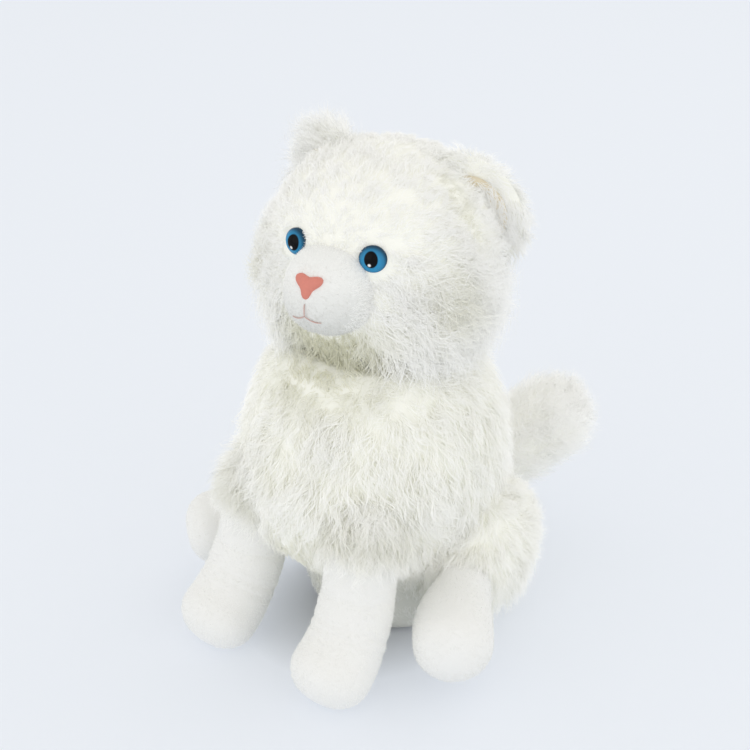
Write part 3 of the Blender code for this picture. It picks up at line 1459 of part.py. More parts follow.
hang(root, touch_switch)


# Neck drive: a motor under the deck, its pinion, and a toothed sector on the neck shaft


def tooth_points(teeth, middle):
    """One involute tooth, from its right root to its left root."""
    pitch = GEAR_MODULE * teeth / 2
    base = pitch * math.cos(GEAR_PRESSURE)
    rolled = math.tan(GEAR_PRESSURE) - GEAR_PRESSURE
    half = math.pi / (2 * teeth) - GEAR_BACKLASH / (4 * pitch)
    radii = [
        pitch - GEAR_DEDENDUM * GEAR_MODULE,
        max(base, pitch - 0.5 * GEAR_MODULE),
        pitch,
        pitch + GEAR_ADDENDUM * GEAR_MODULE,
    ]
    flank = []
    for radius in radii:
        lean = math.acos(min(1, base / max(radius, base)))
        flank.append((radius, half + rolled - (math.tan(lean) - lean)))
    right = [(r * math.cos(middle - a), r * math.sin(middle - a)) for r, a in flank]
    left = [(r * math.cos(middle + a), r * math.sin(middle + a)) for r, a in reversed(flank)]
    return right + left


GEAR_LOW = DECK_TOP + 2 * RUN
GEAR_HIGH = GEAR_LOW + GEAR_THICK
GEAR_SPACING = GEAR_MODULE * (GEAR_TEETH + PINION_TEETH) / 2
tooth_turn = 2 * math.pi / GEAR_TEETH
sector = []
for i in range(SECTOR_TEETH):
    sector += tooth_points(GEAR_TEETH, math.pi / 2 + (i - (SECTOR_TEETH - 1) / 2) * tooth_turn)
sector_half = SECTOR_TEETH * tooth_turn / 2
hub_start = math.pi / 2 + sector_half
hub_span = 2 * math.pi - 2 * sector_half
sector += [
    (
        NECK_HUB_RADIUS * math.cos(hub_start + hub_span * i / 12),
        NECK_HUB_RADIUS * math.sin(hub_start + hub_span * i / 12),
    )
    for i in range(13)
]
neck_gear = prism("neck_gear", sector, GEAR_LOW, GEAR_HIGH, Matrix(), ACETAL)
gear_bore = lathe(
    "gear_bore",
    [
        (0, GEAR_LOW - 0.01),
        (NECK_SHAFT_RADIUS + FIT, GEAR_LOW - 0.01),
        (NECK_SHAFT_RADIUS + FIT, GEAR_HIGH + 0.01),
        (0, GEAR_HIGH + 0.01),
    ],
    Matrix(),
    ACETAL,
)
SHAFT_LOW = DECK_HEIGHT - SHAFT_TAIL
neck_shaft = lathe(
    "neck_shaft",
    [
        (0, SHAFT_LOW),
        (NECK_SHAFT_RADIUS, SHAFT_LOW),
        (NECK_SHAFT_RADIUS, PLATE_LOW - FIT),
        (0, PLATE_LOW - FIT),
    ],
    Matrix(),
    STEEL,
)
clip_high = DECK_HEIGHT - RUN
shaft_clip = lathe(
    "shaft_clip",
    [
        (NECK_SHAFT_RADIUS + FIT, clip_high - CLIP_THICK),
        (CLIP_RADIUS, clip_high - CLIP_THICK),
        (CLIP_RADIUS, clip_high),
        (NECK_SHAFT_RADIUS + FIT, clip_high),
    ],
    Matrix(),
    STEEL,
    PART_SIDES,
    True,
)
head_plate = lathe(
    "head_plate",
    [
        (0, PLATE_LOW),
        (NECK_SHAFT_RADIUS + FIT, PLATE_LOW),
        (NECK_SHAFT_RADIUS + FIT, HUB_LOW),
        (NECK_HUB_RADIUS, HUB_LOW),
        (NECK_HUB_RADIUS, PLATE_LOW),
        (PLATE_RADIUS, PLATE_LOW),
        (PLATE_RADIUS, PLATE_TOP),
        (0, PLATE_TOP),
    ],
    Matrix(),
    ACETAL,
)
carve(neck_gear, gear_bore)
hang(neck, neck_gear, gear_bore, neck_shaft, shaft_clip, head_plate)

bush_low = CASE_TOP - CASE_WALL - BUSH_FLANGE
neck_bush = lathe(
    "neck_bush",
    [
        (NECK_SHAFT_RADIUS + RUN, bush_low),
        (BUSH_RADIUS, bush_low),
        (BUSH_RADIUS, CASE_TOP + FIT),
        (BUSH_FLANGE_RADIUS, CASE_TOP + FIT),
        (BUSH_FLANGE_RADIUS, CASE_TOP + FIT + BUSH_FLANGE / 2),
        (NECK_SHAFT_RADIUS + RUN, CASE_TOP + FIT + BUSH_FLANGE / 2),
    ],
    Matrix(),
    ACETAL,
    PART_SIDES,
    True,
)
deck_outline = rounded(IN_HALF - FIT, IN_FRONT + FIT, IN_BACK - FIT, IN_CORNER)
gear_deck = prism("gear_deck", deck_outline, DECK_HEIGHT, DECK_TOP, Matrix(), DARK_ABS)
deck_holes = ((NECK_SHAFT_RADIUS, 0), (MOTOR_SHAFT_RADIUS, GEAR_SPACING))
for i, (radius, at_y) in enumerate(deck_holes):
    hole = lathe(
        f"deck_hole_{i + 1}",
        [
            (0, DECK_HEIGHT - 0.01),
            (radius + RUN, DECK_HEIGHT - 0.01),
            (radius + RUN, DECK_TOP + 0.01),
            (0, DECK_TOP + 0.01),
        ],
        Matrix.Translation((0, at_y, 0)),
        DARK_ABS,
    )
    carve(gear_deck, hole)
    hang(root, hole)

motor_top = DECK_HEIGHT - FIT
gear_motor = block(
    "gear_motor",
    (-MOTOR_WIDTH / 2, GEAR_SPACING - MOTOR_DEPTH / 2, motor_top - MOTOR_GEARBOX),
    (MOTOR_WIDTH / 2, GEAR_SPACING + MOTOR_DEPTH / 2, motor_top),
    STEEL,
)
motor_can = lathe(
    "motor_can",
    [
        (0, motor_top - MOTOR_LENGTH),
        (MOTOR_DEPTH / 2, motor_top - MOTOR_LENGTH),
        (MOTOR_DEPTH / 2, motor_top - MOTOR_GEARBOX / 2),
        (0, motor_top - MOTOR_GEARBOX / 2),
    ],
    Matrix.Translation((0, GEAR_SPACING, 0)),
    STEEL,
    16,
)
shaft_low = motor_top - MOTOR_SHAFT_IN
motor_bore = lathe(
    "motor_bore",
    [
        (0, shaft_low - RUN),
        (MOTOR_SHAFT_RADIUS + RUN, shaft_low - RUN),
        (MOTOR_SHAFT_RADIUS + RUN, motor_top + 0.01),
        (0, motor_top + 0.01),
    ],
    Matrix.Translation((0, GEAR_SPACING, 0)),
    STEEL,
    SMALL_SIDES,
)
weld(gear_motor, motor_can)
carve(gear_motor, motor_bore)
hang(root, neck_bush, gear_deck, gear_motor, motor_can, motor_bore)

pinion_axis = Vector((0, GEAR_SPACING, GEAR_LOW))
pinion_pivot = empty("pinion_axis", root, pinion_axis)
motor_shaft = lathe(
    "motor_shaft",
    [(0, shaft_low), (MOTOR_SHAFT_RADIUS, shaft_low), (MOTOR_SHAFT_RADIUS, GEAR_HIGH), (0, GEAR_HIGH)],
    Matrix.Translation((0, GEAR_SPACING, 0)),
    STEEL,
    SMALL_SIDES,
)
pinion_start = -math.pi / 2 + math.pi / PINION_TEETH - HEAD_TURN_AT_REST * GEAR_TEETH / PINION_TEETH
pinion_outline = []
for i in range(PINION_TEETH):
    pinion_outline += tooth_points(PINION_TEETH, pinion_start + 2 * math.pi * i / PINION_TEETH)
pinion_place = Matrix.Translation((0, GEAR_SPACING, 0))
drive_pinion = prism("drive_pinion", pinion_outline, GEAR_LOW, GEAR_HIGH, pinion_place, ACETAL)
pinion_bore = lathe(
    "pinion_bore",
    [
        (0, GEAR_LOW - 0.01),
        (MOTOR_SHAFT_RADIUS + FIT, GEAR_LOW - 0.01),
        (MOTOR_SHAFT_RADIUS + FIT, GEAR_HIGH + 0.01),
        (0, GEAR_HIGH + 0.01),
    ],
    pinion_place,
    ACETAL,
    SMALL_SIDES,
)
carve(drive_pinion, pinion_bore)
hang(pinion_pivot, motor_shaft, drive_pinion, pinion_bore)
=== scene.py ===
"""Looks of a sitting long-haired plush cat: sewn skins, fur, short pile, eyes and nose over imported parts."""

import json
import math

import bpy
import numpy as np
from mathutils import Matrix, Vector

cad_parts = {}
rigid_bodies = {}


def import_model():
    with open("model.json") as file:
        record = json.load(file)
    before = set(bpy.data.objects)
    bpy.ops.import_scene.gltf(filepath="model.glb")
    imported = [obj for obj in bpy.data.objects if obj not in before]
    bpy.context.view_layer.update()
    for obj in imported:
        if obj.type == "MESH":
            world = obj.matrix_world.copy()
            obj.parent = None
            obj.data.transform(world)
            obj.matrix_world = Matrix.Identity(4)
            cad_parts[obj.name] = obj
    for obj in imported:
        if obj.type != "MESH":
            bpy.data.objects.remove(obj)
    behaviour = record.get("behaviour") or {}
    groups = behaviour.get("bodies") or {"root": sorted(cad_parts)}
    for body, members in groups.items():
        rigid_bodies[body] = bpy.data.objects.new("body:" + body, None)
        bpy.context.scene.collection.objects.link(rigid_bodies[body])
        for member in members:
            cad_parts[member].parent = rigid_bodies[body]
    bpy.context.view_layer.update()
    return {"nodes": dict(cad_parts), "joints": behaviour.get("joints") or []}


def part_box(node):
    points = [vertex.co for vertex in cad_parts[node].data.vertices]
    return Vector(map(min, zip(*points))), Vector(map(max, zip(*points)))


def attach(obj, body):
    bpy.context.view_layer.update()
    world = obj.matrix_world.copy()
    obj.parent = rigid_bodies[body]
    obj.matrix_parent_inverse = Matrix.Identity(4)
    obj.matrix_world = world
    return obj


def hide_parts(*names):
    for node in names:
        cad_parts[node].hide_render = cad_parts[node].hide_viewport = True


for startup in list(bpy.data.objects):
    bpy.data.objects.remove(startup)
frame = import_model()
nodes = frame["nodes"]
pivot = {joint["name"]: np.array(joint["pos_m"]) for joint in frame["joints"] if "pos_m" in joint}


# Studio. A sheet of pale paper on a light table whose glow fades out under the toy as a painted shadow. Soft
# windows in front, beside and behind, a sky that is brightest low down, and a long lens that looks down on the
# toy from its front left.
MM = 0.001
LENS_AZIMUTH = 40
LENS_ELEVATION = 28
LENS_DISTANCE = 0.95
LENS_TARGET = Vector((0, -30 * MM, 150 * MM))
LENS_FOCAL = 82.08
LENS_SHIFT = (4 / 750, 3 / 750)
WINDOW_DISTANCE = 1.7
WINDOW_SIZE = 1.6
PAPER_HALF = 6
SHADOW_HALF_WIDTH = 68 * MM
SHADOW_HALF_DEPTH = 85 * MM
SHADOW_FORWARD = 0.28


def set_inputs(made, values):
    """Sets inputs of a node by name, with an underscore for each space."""
    for key, value in values.items():
        made.inputs[key.replace("_", " ")].default_value = value


def value_node(tree, kind, settings=(), **values):
    """A new node with its settings made and then the named inputs set."""
    made = tree.nodes.new(kind)
    for key, value in dict(settings).items():
        setattr(made, key, value)
    set_inputs(made, values)
    return made


def wire(tree, *links):
    """Joins nodes: each link is a node and its output, then a node and its input."""
    for start, output, end, entry in links:
        tree.links.new(start.outputs[output], end.inputs[entry])


def finish_with(name, **values):
    """A new material with its shader's named inputs set, and its node tree and shader."""
    finish = bpy.data.materials.new(name)
    finish.use_nodes = True
    shader = finish.node_tree.nodes["Principled BSDF"]
    set_inputs(shader, values)
    return finish, finish.node_tree, shader


def in_scene(name, data):
    """A new object of some data, put in the scene."""
    made = bpy.data.objects.new(name, data)
    bpy.context.scene.collection.objects.link(made)
    return made


paper_mesh = bpy.data.meshes.new("studio_paper")
paper_corners = [(PAPER_HALF * x, PAPER_HALF * y, 0) for x, y in ((-1, -1), (1, -1), (1, 1), (-1, 1))]
paper_mesh.from_pydata(paper_corners, [], [(0, 1, 2, 3)])
paper_mesh.transform(Matrix.Translation((0, 0, -0.3 * MM)))
paper = in_scene("studio_paper", paper_mesh)
paper_finish, paper_tree, paper_shader = finish_with(
    "studio_paper",
    Base_Color=(0.43, 0.445, 0.465, 1),
    Emission_Color=(0.385, 0.405, 0.44, 1),
    Roughness=0.9,
    Specular_IOR_Level=0.1,
)
# Painted shadow: the paper's glow is nil in the middle of an oval round the toy's seat and full just past its
# edge.
paper_place = value_node(paper_tree, "ShaderNodeTexCoord")
paper_shadow_patch = value_node(
    paper_tree,
    "ShaderNodeMapping",
    Location=(0, SHADOW_FORWARD, 0),
    Scale=(1 / SHADOW_HALF_WIDTH, 1 / SHADOW_HALF_DEPTH, 0),
)
paper_shadow_far = value_node(paper_tree, "ShaderNodeVectorMath", {"operation": "LENGTH"})
paper_glow_shadowed = value_node(paper_tree, "ShaderNodeMapRange", From_Min=0.3, From_Max=1.05)
wire(
    paper_tree,
    (paper_place, "Object", paper_shadow_patch, "Vector"),
    (paper_shadow_patch, "Vector", paper_shadow_far, 0),
    (paper_shadow_far, "Value", paper_glow_shadowed, "Value"),
    (paper_glow_shadowed, "Result", paper_shader, "Emission Strength"),
)
paper_mesh.materials.append(paper_finish)

sky = bpy.data.worlds.new("studio_sky")
sky.use_nodes = True
sky_light = sky.node_tree.nodes["Background"]
sky_light.inputs["Color"].default_value = (1.0, 0.995, 0.98, 1)
sky_place = value_node(sky.node_tree, "ShaderNodeTexCoord")
sky_split = value_node(sky.node_tree, "ShaderNodeSeparateXYZ")
sky_level = value_node(sky.node_tree, "ShaderNodeMapRange", To_Min=1.14, To_Max=0.84)
wire(
    sky.node_tree,
    (sky_place, "Generated", sky_split, "Vector"),
    (sky_split, "Z", sky_level, "Value"),
    (sky_level, "Result", sky_light, "Strength"),
)
bpy.context.scene.world = sky


def placed(name, data, azimuth, elevation, distance):
    """Puts a light or the camera on a sphere round the toy, turned to face it."""
    a, e = math.radians(azimuth), math.radians(elevation)
    away = Vector((math.sin(a) * math.cos(e), -math.cos(a) * math.cos(e), math.sin(e)))
    made = in_scene(name, data)
    made.location = LENS_TARGET + away * distance
    made.rotation_euler = away.to_track_quat("Z", "Y").to_euler()
    return made


for name, azimuth, elevation, power, colour in (
    ("window_key", -8, 14, 4.4, (1.0, 0.99, 0.97)),
    ("window_side", 84, 12, 3.0, (1.0, 1.0, 0.98)),
    ("window_back", 165, 48, 2.2, (1.0, 1.0, 1.0)),
):
    light = bpy.data.lights.new(name, "AREA")
    light.shape = "SQUARE"
    light.size = WINDOW_SIZE
    light.energy = power
    light.color = colour
    placed(name, light, azimuth, elevation, WINDOW_DISTANCE)

lens = bpy.data.cameras.new("studio_camera")
lens.sensor_width = 36
lens.lens = LENS_FOCAL
lens.shift_x, lens.shift_y = LENS_SHIFT
lens.clip_start = 0.05
camera = placed("studio_camera", lens, LENS_AZIMUTH, LENS_ELEVATION, LENS_DISTANCE)
bpy.context.scene.camera = camera
bpy.context.scene.view_settings.view_transform = "Standard"
bpy.context.scene.cycles.max_bounces = 20
bpy.context.scene.cycles.diffuse_bounces = 14


# Motor box and what it holds. Moulded shells with four screws, three cells, a board, a speaker, two small
# motors and the neck drive. These pieces keep their shapes and get a finish: a fine moulded or plated grain.
def group(name, inputs, outputs):
    """A node group with sockets of the given kinds, and the nodes of its inputs and outputs."""
    made = bpy.data.node_groups.new(name, "ShaderNodeTree")
    for way, sockets in (("INPUT", inputs), ("OUTPUT", outputs)):
        for socket, kind in sockets.items():
            made.interface.new_socket(socket, in_out=way, socket_type=f"NodeSocket{kind}")
    return made, made.nodes.new("NodeGroupInput"), made.nodes.new("NodeGroupOutput")


grain, grain_in, grain_out = group(
    "moulded_grain",
    {"Color": "Color", "Roughness": "Float", "Scale": "Float"},
    {"Color": "Color", "Roughness": "Float", "Height": "Float"},
)
grain_place = value_node(grain, "ShaderNodeTexCoord")
grain_noise = value_node(grain, "ShaderNodeTexNoise", Detail=3.0)
grain_shade = value_node(grain, "ShaderNodeHueSaturation")
grain_level = value_node(grain, "ShaderNodeMapRange", To_Min=0.88, To_Max=1.1)
grain_rough = value_node(grain, "ShaderNodeMath", {"operation": "MULTIPLY"})
wire(
    grain,
    (grain_place, "Object", grain_noise, "Vector"),
    (grain_in, "Scale", grain_noise, "Scale"),
    (grain_noise, "Fac", grain_level, "Value"),
    (grain_level, "Result", grain_shade, "Value"),
    (grain_in, "Color", grain_shade, "Color"),
    (grain_level, "Result", grain_rough, 0),
    (grain_in, "Roughness", grain_rough, 1),
    (grain_shade, "Color", grain_out, "Color"),
    (grain_rough, "Value", grain_out, "Roughness"),
    (grain_noise, "Fac", grain_out, "Height"),
)


def moulded(name, colour, roughness, scale, bump, metal=0.0):
    """A finish with the shared grain in its colour, roughness and height."""
    finish, tree, shader = finish_with(name, Metallic=metal)
    mix = value_node(tree, "ShaderNodeGroup", {"node_tree": grain}, Color=(*colour, 1))
    set_inputs(mix, {"Roughness": roughness, "Scale": scale})
    raised = value_node(tree, "ShaderNodeBump", Strength=bump, Distance=0.2 * MM)
    wire(
        tree,
        (mix, "Color", shader, "Base Color"),
        (mix, "Roughness", shader, "Roughness"),
        (mix, "Height", raised, "Height"),
        (raised, "Normal", shader, "Normal"),
    )
    return finish


gears = "drive_pinion neck_gear neck_bush head_plate pet_button"
screws = "case_screw_1 case_screw_2 case_screw_3 case_screw_4 door_screw"
motors = "gear_motor motor_shaft neck_shaft shaft_clip purr_motor purr_weight speaker"
for look, pieces in (
    (("case_plastic", (0.70, 0.71, 0.73), 0.5, 900, 0.25), "case_base case_cover battery_door"),
    (("dark_plastic", (0.03, 0.03, 0.035), 0.45, 900, 0.25), "gear_deck power_switch switch_slider"),
    (("gear_plastic", (0.84, 0.84, 0.81), 0.4, 700, 0.15), gears),
    (("washer_nylon", (0.82, 0.82, 0.78), 0.5, 800, 0.2), "eye_washer_left eye_washer_right nose_washer"),
    (("plated_steel", (0.60, 0.61, 0.63), 0.32, 1500, 0.12, 1.0), screws + " " + motors),
    (("nickel_strip", (0.70, 0.66, 0.58), 0.28, 1500, 0.1, 1.0), "contact_left contact_right"),
    (("solder_mask", (0.02, 0.17, 0.06), 0.4, 600, 0.2), "circuit_board touch_switch"),
    (("cone_paper", (0.035, 0.035, 0.035), 0.85, 1200, 0.4), "speaker_cone"),
    (("cell_wrap", (0.05, 0.05, 0.06), 0.3, 500, 0.08), "battery_1 battery_2 battery_3"),
):
    finish = moulded(*look)
    for piece in pieces.split():
        for place in nodes[piece].material_slots:
            place.material = finish


# Body. A sewn long-pile skin over fibre fill, closed round the motor box: it has a bore for the neck shaft on
# top and an opening in the seat, whose cloth is painted darker toward the floor as shade. Its fur parts at a
# whorl on the left of the chest and hangs in wavy locks, with painted cream shade under the chin, between the
# legs and a little behind them.
TORSO_HEIGHT = 176 * MM
TORSO_HALF_WIDTH = 72 * MM
TORSO_HALF_DEPTH = 82 * MM
TORSO_INSET = 2 * MM
TORSO_ROWS = np.array(
    [
        (0, 0.70, 0.71, 0.29), (0.06, 0.79, 0.77, 0.30), (0.20, 0.83, 0.84, 0.26),
        (0.40, 0.89, 1, 0.05), (0.58, 0.98, 0.97, -0.04), (0.70, 1, 0.92, -0.06),
        (0.82, 0.95, 0.83, -0.06), (0.92, 0.84, 0.72, -0.04), (1, 0.69, 0.59, 0),
    ]
)
NECK_BORE = 6.6 * MM
CASE_ROOM = 1.5 * MM
CASE_HALF_WIDTH = 31.5 * MM
SKIN_SIDES = 96
TORSO_LOCKS = 4900
CHEST_WHORL = np.array((46, -66, 158)) * MM
DOWN = np.array((0, 0, -1.0))
neck = pivot["head_turn"]


def through(rows, at):
    """Smooth values through rows of (place, values...): a cubic in each span, sloped by its neighbours."""
    at = np.clip(at, 0, 1)
    i = np.clip(np.searchsorted(rows[:, 0], at, side="right") - 1, 0, len(rows) - 2)
    before, low, high = rows[np.maximum(i - 1, 0)], rows[i], rows[i + 1]
    after = rows[np.minimum(i + 2, len(rows) - 1)]
    span = high[..., :1] - low[..., :1]
    f = (at[..., None] - low[..., :1]) / span
    leave = (high - before) / (high[..., :1] - before[..., :1]) * span
    reach = (after - low) / (after[..., :1] - low[..., :1]) * span
    curve = (2 * f**3 - 3 * f**2 + 1) * low + (f**3 - 2 * f**2 + f) * leave
    return (curve + (3 * f**2 - 2 * f**3) * high + (f**3 - f**2) * reach)[..., 1:]


def torso_at(turn, height, inset=0.0):
    """The body at a share of a turn and of its height: an ellipse whose widths and lean follow the rows."""
    shape = through(TORSO_ROWS, height)
    a = 2 * np.pi * turn
    x = (shape[..., 0] * TORSO_HALF_WIDTH - inset) * np.cos(a)
    y = shape[..., 2] * TORSO_HALF_DEPTH + (shape[..., 1] * TORSO_HALF_DEPTH - inset) * np.sin(a)
    return np.stack([x + neck[0], y + neck[1], height * TORSO_HEIGHT + 0 * a], -1)


def shell(name, rings, joined=False):
    """A closed skin over rings of points. Each end is drawn to a point, or the last ring joins the first."""
    rows, sides = rings.shape[:2]
    index = np.arange(rows * sides).reshape(rows, sides)
    points = rings.reshape(-1, 3)
    strip = np.vstack([index, index[:1]]) if joined else index
    low, high = strip[:-1], strip[1:]
    faces = np.stack([low, np.roll(low, -1, 1), np.roll(high, -1, 1), high], -1).reshape(-1, 4).tolist()
    if not joined:
        points = np.vstack([points, rings[0].mean(0), rings[-1].mean(0)])
        first, last = rows * sides, rows * sides + 1
        faces += np.stack([np.roll(index[0], -1), index[0], np.full(sides, first)], -1).tolist()
        faces += np.stack([index[-1], np.roll(index[-1], -1), np.full(sides, last)], -1).tolist()
    mesh = bpy.data.meshes.new(name)
    mesh.from_pydata(points.tolist(), [], faces)
    mesh.shade_smooth()
    return in_scene(name, mesh)


def grid(rows, sides):
    """Shares of a turn and of a height, one row of sides for each ring."""
    return np.meshgrid(np.arange(sides) / sides, np.asarray(rows, float))


def box_ring(sides, half_x, low_y, high_y, z, square=5.0):
    """A rounded rectangle as a ring: a superellipse round the middle of its sides."""
    a = 2 * np.pi * np.arange(sides) / sides
    c, s = np.cos(a), np.sin(a)
    x = half_x * np.sign(c) * np.abs(c) ** (2 / square)
    y = (low_y + high_y) / 2 + (high_y - low_y) / 2 * np.sign(s) * np.abs(s) ** (2 / square)
    return np.stack([x, y, z + 0 * a], -1)


COLOUR_MIX = {"data_type": "RGBA"}
nap, nap_in, nap_out = group(
    "cloth_nap",
    {"Color": "Color", "Shade": "Color", "Scale": "Float"},
    {"Color": "Color", "Height": "Float"},
)
nap_place = value_node(nap, "ShaderNodeTexCoord")
nap_fine = value_node(nap, "ShaderNodeTexNoise", Detail=4.0)
nap_broad = value_node(nap, "ShaderNodeTexNoise", Scale=60.0, Detail=2.0)
nap_mix = value_node(nap, "ShaderNodeMix", COLOUR_MIX)
wire(
    nap,
    (nap_place, "Object", nap_fine, "Vector"),
    (nap_place, "Object", nap_broad, "Vector"),
    (nap_in, "Scale", nap_fine, "Scale"),
    (nap_broad, "Fac", nap_mix, "Factor"),
    (nap_in, "Color", nap_mix, "A"),
    (nap_in, "Shade", nap_mix, "B"),
    (nap_mix, "Result", nap_out, "Color"),
    (nap_fine, "Fac", nap_out, "Height"),
)


def cloth(name, colour, shade, scale, bump):
    """Plush backing or short pile: softly mottled, with a fine nap."""
    finish, tree, shader = finish_with(
        name, Roughness=0.95, Specular_IOR_Level=0.15, Sheen_Weight=0.25, Sheen_Roughness=0.5
    )
    mix = value_node(tree, "ShaderNodeGroup", {"node_tree": nap}, Color=(*colour, 1))
    set_inputs(mix, {"Shade": (*shade, 1), "Scale": scale})
    raised = value_node(tree, "ShaderNodeBump", Strength=bump, Distance=0.6 * MM)
    wire(
        tree,
        (mix, "Color", shader, "Base Color"),
        (mix, "Height", raised, "Height"),
        (raised, "Normal", shader, "Normal"),
    )
    return finish


def furnish(piece, finish, body):
    """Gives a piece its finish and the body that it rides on."""
    piece.data.materials.append(finish)
    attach(piece, body)


def dress(piece, finish, body, slot, *stands_for, fill=0.8):
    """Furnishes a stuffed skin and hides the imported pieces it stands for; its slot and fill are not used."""
    furnish(piece, finish, body)
    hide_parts(*stands_for)


def paint_shade_below(finish, colour, low, high):
    """Paints shade on a cloth: a darker colour below a height, blended upward to its own."""
    tree = finish.node_tree
    place = value_node(tree, "ShaderNodeTexCoord")
    split = value_node(tree, "ShaderNodeSeparateXYZ")
    level = value_node(tree, "ShaderNodeMapRange", From_Min=low, From_Max=high)
    mix = value_node(tree, "ShaderNodeMix", COLOUR_MIX, A=(*colour, 1))
    wire(
        tree,
        (place, "Object", split, "Vector"),
        (split, "Z", level, "Value"),
        (level, "Result", mix, "Factor"),
        (tree.nodes["Group"], "Color", mix, "B"),
        (mix, "Result", tree.nodes["Principled BSDF"], "Base Color"),
    )


torso_rings = list(torso_at(*grid(np.linspace(0.012, 0.985, 44), SKIN_SIDES), TORSO_INSET))
case_low, case_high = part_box("case_base")
bush_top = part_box("neck_bush")[1][2]
cover_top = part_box("case_cover")[1][2]
bore_turn = 2 * np.pi * np.arange(SKIN_SIDES) / SKIN_SIDES
bore = np.stack([np.cos(bore_turn), np.sin(bore_turn), 0 * bore_turn], -1)
top_ring = torso_rings[-1]
for share in (0.35, 0.7, 1.0):
    inner = neck * (1, 1, 0) + bore * NECK_BORE + (0, 0, TORSO_HEIGHT - 1 * MM)
    torso_rings.append(top_ring * (1 - share) + inner * share)
for z, radius in ((140 * MM, 6.6), (bush_top + 2 * MM, 6.8), (bush_top + 0.8 * MM, 11)):
    torso_rings.append(neck * (1, 1, 0) + bore * radius * MM + (0, 0, z))
case_sides = (case_low[1] - CASE_ROOM, case_high[1] + CASE_ROOM)
torso_rings.append(box_ring(SKIN_SIDES, CASE_HALF_WIDTH, *case_sides, cover_top + 1 * MM))
for z, half in ((60, 31.5), (56, 39.5), (30, 39.5), (26, 31.5), (4, 31), (1.2, 30.9)):
    torso_rings.append(box_ring(SKIN_SIDES, half * MM, *case_sides, z * MM))
torso_skin = shell("torso_skin", np.array(torso_rings), joined=True)
backing, seat = (
    cloth(name, (0.91, 0.91, 0.85), (0.89, 0.89, 0.83), 700, 0.5) for name in ("plush_backing", "seat_cloth")
)
# Painted shade: the seat's cloth darkens toward the floor, where the body's underside is in shadow.
paint_shade_below(seat, (0.72, 0.72, 0.66), 34 * MM, 64 * MM)
dress(torso_skin, seat, "torso", "long_pile", "torso")

pile_colours = {"Root": "Color", "Tip": "Color", "Dim": "Color"}
pile, pile_in, pile_out = group("pile_tint", pile_colours, {"Color": "Color"})
pile_map = value_node(pile, "ShaderNodeUVMap", {"uv_map": "OFBake"})
pile_split = value_node(pile, "ShaderNodeSeparateXYZ")
pile_along = value_node(pile, "ShaderNodeMapRange", From_Max=0.7)
pile_mix = value_node(pile, "ShaderNodeMix", COLOUR_MIX)
pile_dim_tint_and_shade = value_node(pile, "ShaderNodeMix", COLOUR_MIX, B=(1, 1, 1, 1))
pile_shade = value_node(pile, "ShaderNodeMix", {**COLOUR_MIX, "blend_type": "MULTIPLY"}, Factor=1.0)
wire(
    pile,
    (pile_map, "UV", pile_split, "Vector"),
    (pile_split, "Y", pile_along, "Value"),
    (pile_along, "Result", pile_mix, "Factor"),
    (pile_in, "Root", pile_mix, "A"),
    (pile_in, "Tip", pile_mix, "B"),
    (pile_split, "X", pile_dim_tint_and_shade, "Factor"),
    (pile_in, "Dim", pile_dim_tint_and_shade, "A"),
    (pile_mix, "Result", pile_shade, "A"),
    (pile_dim_tint_and_shade, "Result", pile_shade, "B"),
    (pile_shade, "Result", pile_out, "Color"),
)


def fibre(name, root, tip, dim_tint_and_shade, roughness=0.55):
    """Hair: its colour changes from root to tip and is dimmer in some locks, as the hair's own map says: a
    little at random, and more where shade is painted.
    """
    finish, tree, shader = finish_with(name, Roughness=roughness, Specular_IOR_Level=0.3)
    mix = value_node(tree, "ShaderNodeGroup", {"node_tree": pile})
    set_inputs(mix, {"Root": (*root, 1), "Tip": (*tip, 1), "Dim": (*dim_tint_and_shade, 1)})
    wire(tree, (mix, "Color", shader, "Base Color"))
    return finish


def scatter(surface, count, dice, fineness=140):
    """Places (a, b) spread evenly over surface(a, b): grid cells are drawn in proportion to their area."""
    steps = (np.arange(fineness) + 0.5) / fineness
    a, b = np.meshgrid(steps, steps)
    small = 0.2 / fineness
    across = surface(a + small, b) - surface(a - small, b)
    along = surface(a, b + small) - surface(a, b - small)
    area = np.linalg.norm(np.cross(across, along), axis=-1).ravel()
    cell = dice.choice(area.size, count, p=area / area.sum())
    jitter = (dice.random((2, count)) - 0.5) / fineness
    return a.ravel()[cell] + jitter[0], b.ravel()[cell] + jitter[1]


def unit(vectors):
    return vectors / np.maximum(np.linalg.norm(vectors, axis=-1, keepdims=True), 1e-9)


def facing(surface, a, b):
    """Outward unit normals of surface(a, b), from small steps both ways."""
    small = 1e-3
    across = surface(a + small, b) - surface(a - small, b)
    along = surface(a, b + small) - surface(a, b - small)
    return unit(np.cross(across, along))


def sown(surface, count, dice):
    """Places spread over a surface: both shares, the points and their normals."""
    a, b = scatter(surface, count, dice)
    return a, b, surface(a, b), facing(surface, a, b)


def hump(distance, width, power=2):
    """1 in the middle, falling off over a width: e to the minus a power of the distance."""
    return np.exp(-((distance / width) ** power))


def ramp(value, start, span):
    """From 0 at the start to 1 at a span from it, held there; a negative span runs downward."""
    return np.clip((value - start) / span, 0, 1)


def fast_mesh(name, points, faces, uv):
    """A mesh object from whole arrays of points, triangles and a map point for each point."""
    mesh = bpy.data.meshes.new(name)
    mesh.vertices.add(len(points))
    mesh.vertices.foreach_set("co", points.astype(np.float32).ravel())
    mesh.loops.add(faces.size)
    mesh.loops.foreach_set("vertex_index", faces.astype(np.int32).ravel())
    mesh.polygons.add(len(faces))
    mesh.polygons.foreach_set("loop_start", np.arange(0, faces.size, 3, dtype=np.int32))
    chart = mesh.uv_layers.new(name="OFBake")
    chart.data.foreach_set("uv", uv[faces.ravel()].astype(np.float32).ravel())
    mesh.update(calc_edges=True)
    mesh.shade_flat()
    return in_scene(name, mesh)


TINT_AND_SHADE_STEPS = 32
LONG_HAIR = (0, 0.33, 0.68, 1)
SHORT_HAIR = (0, 0.45, 1)


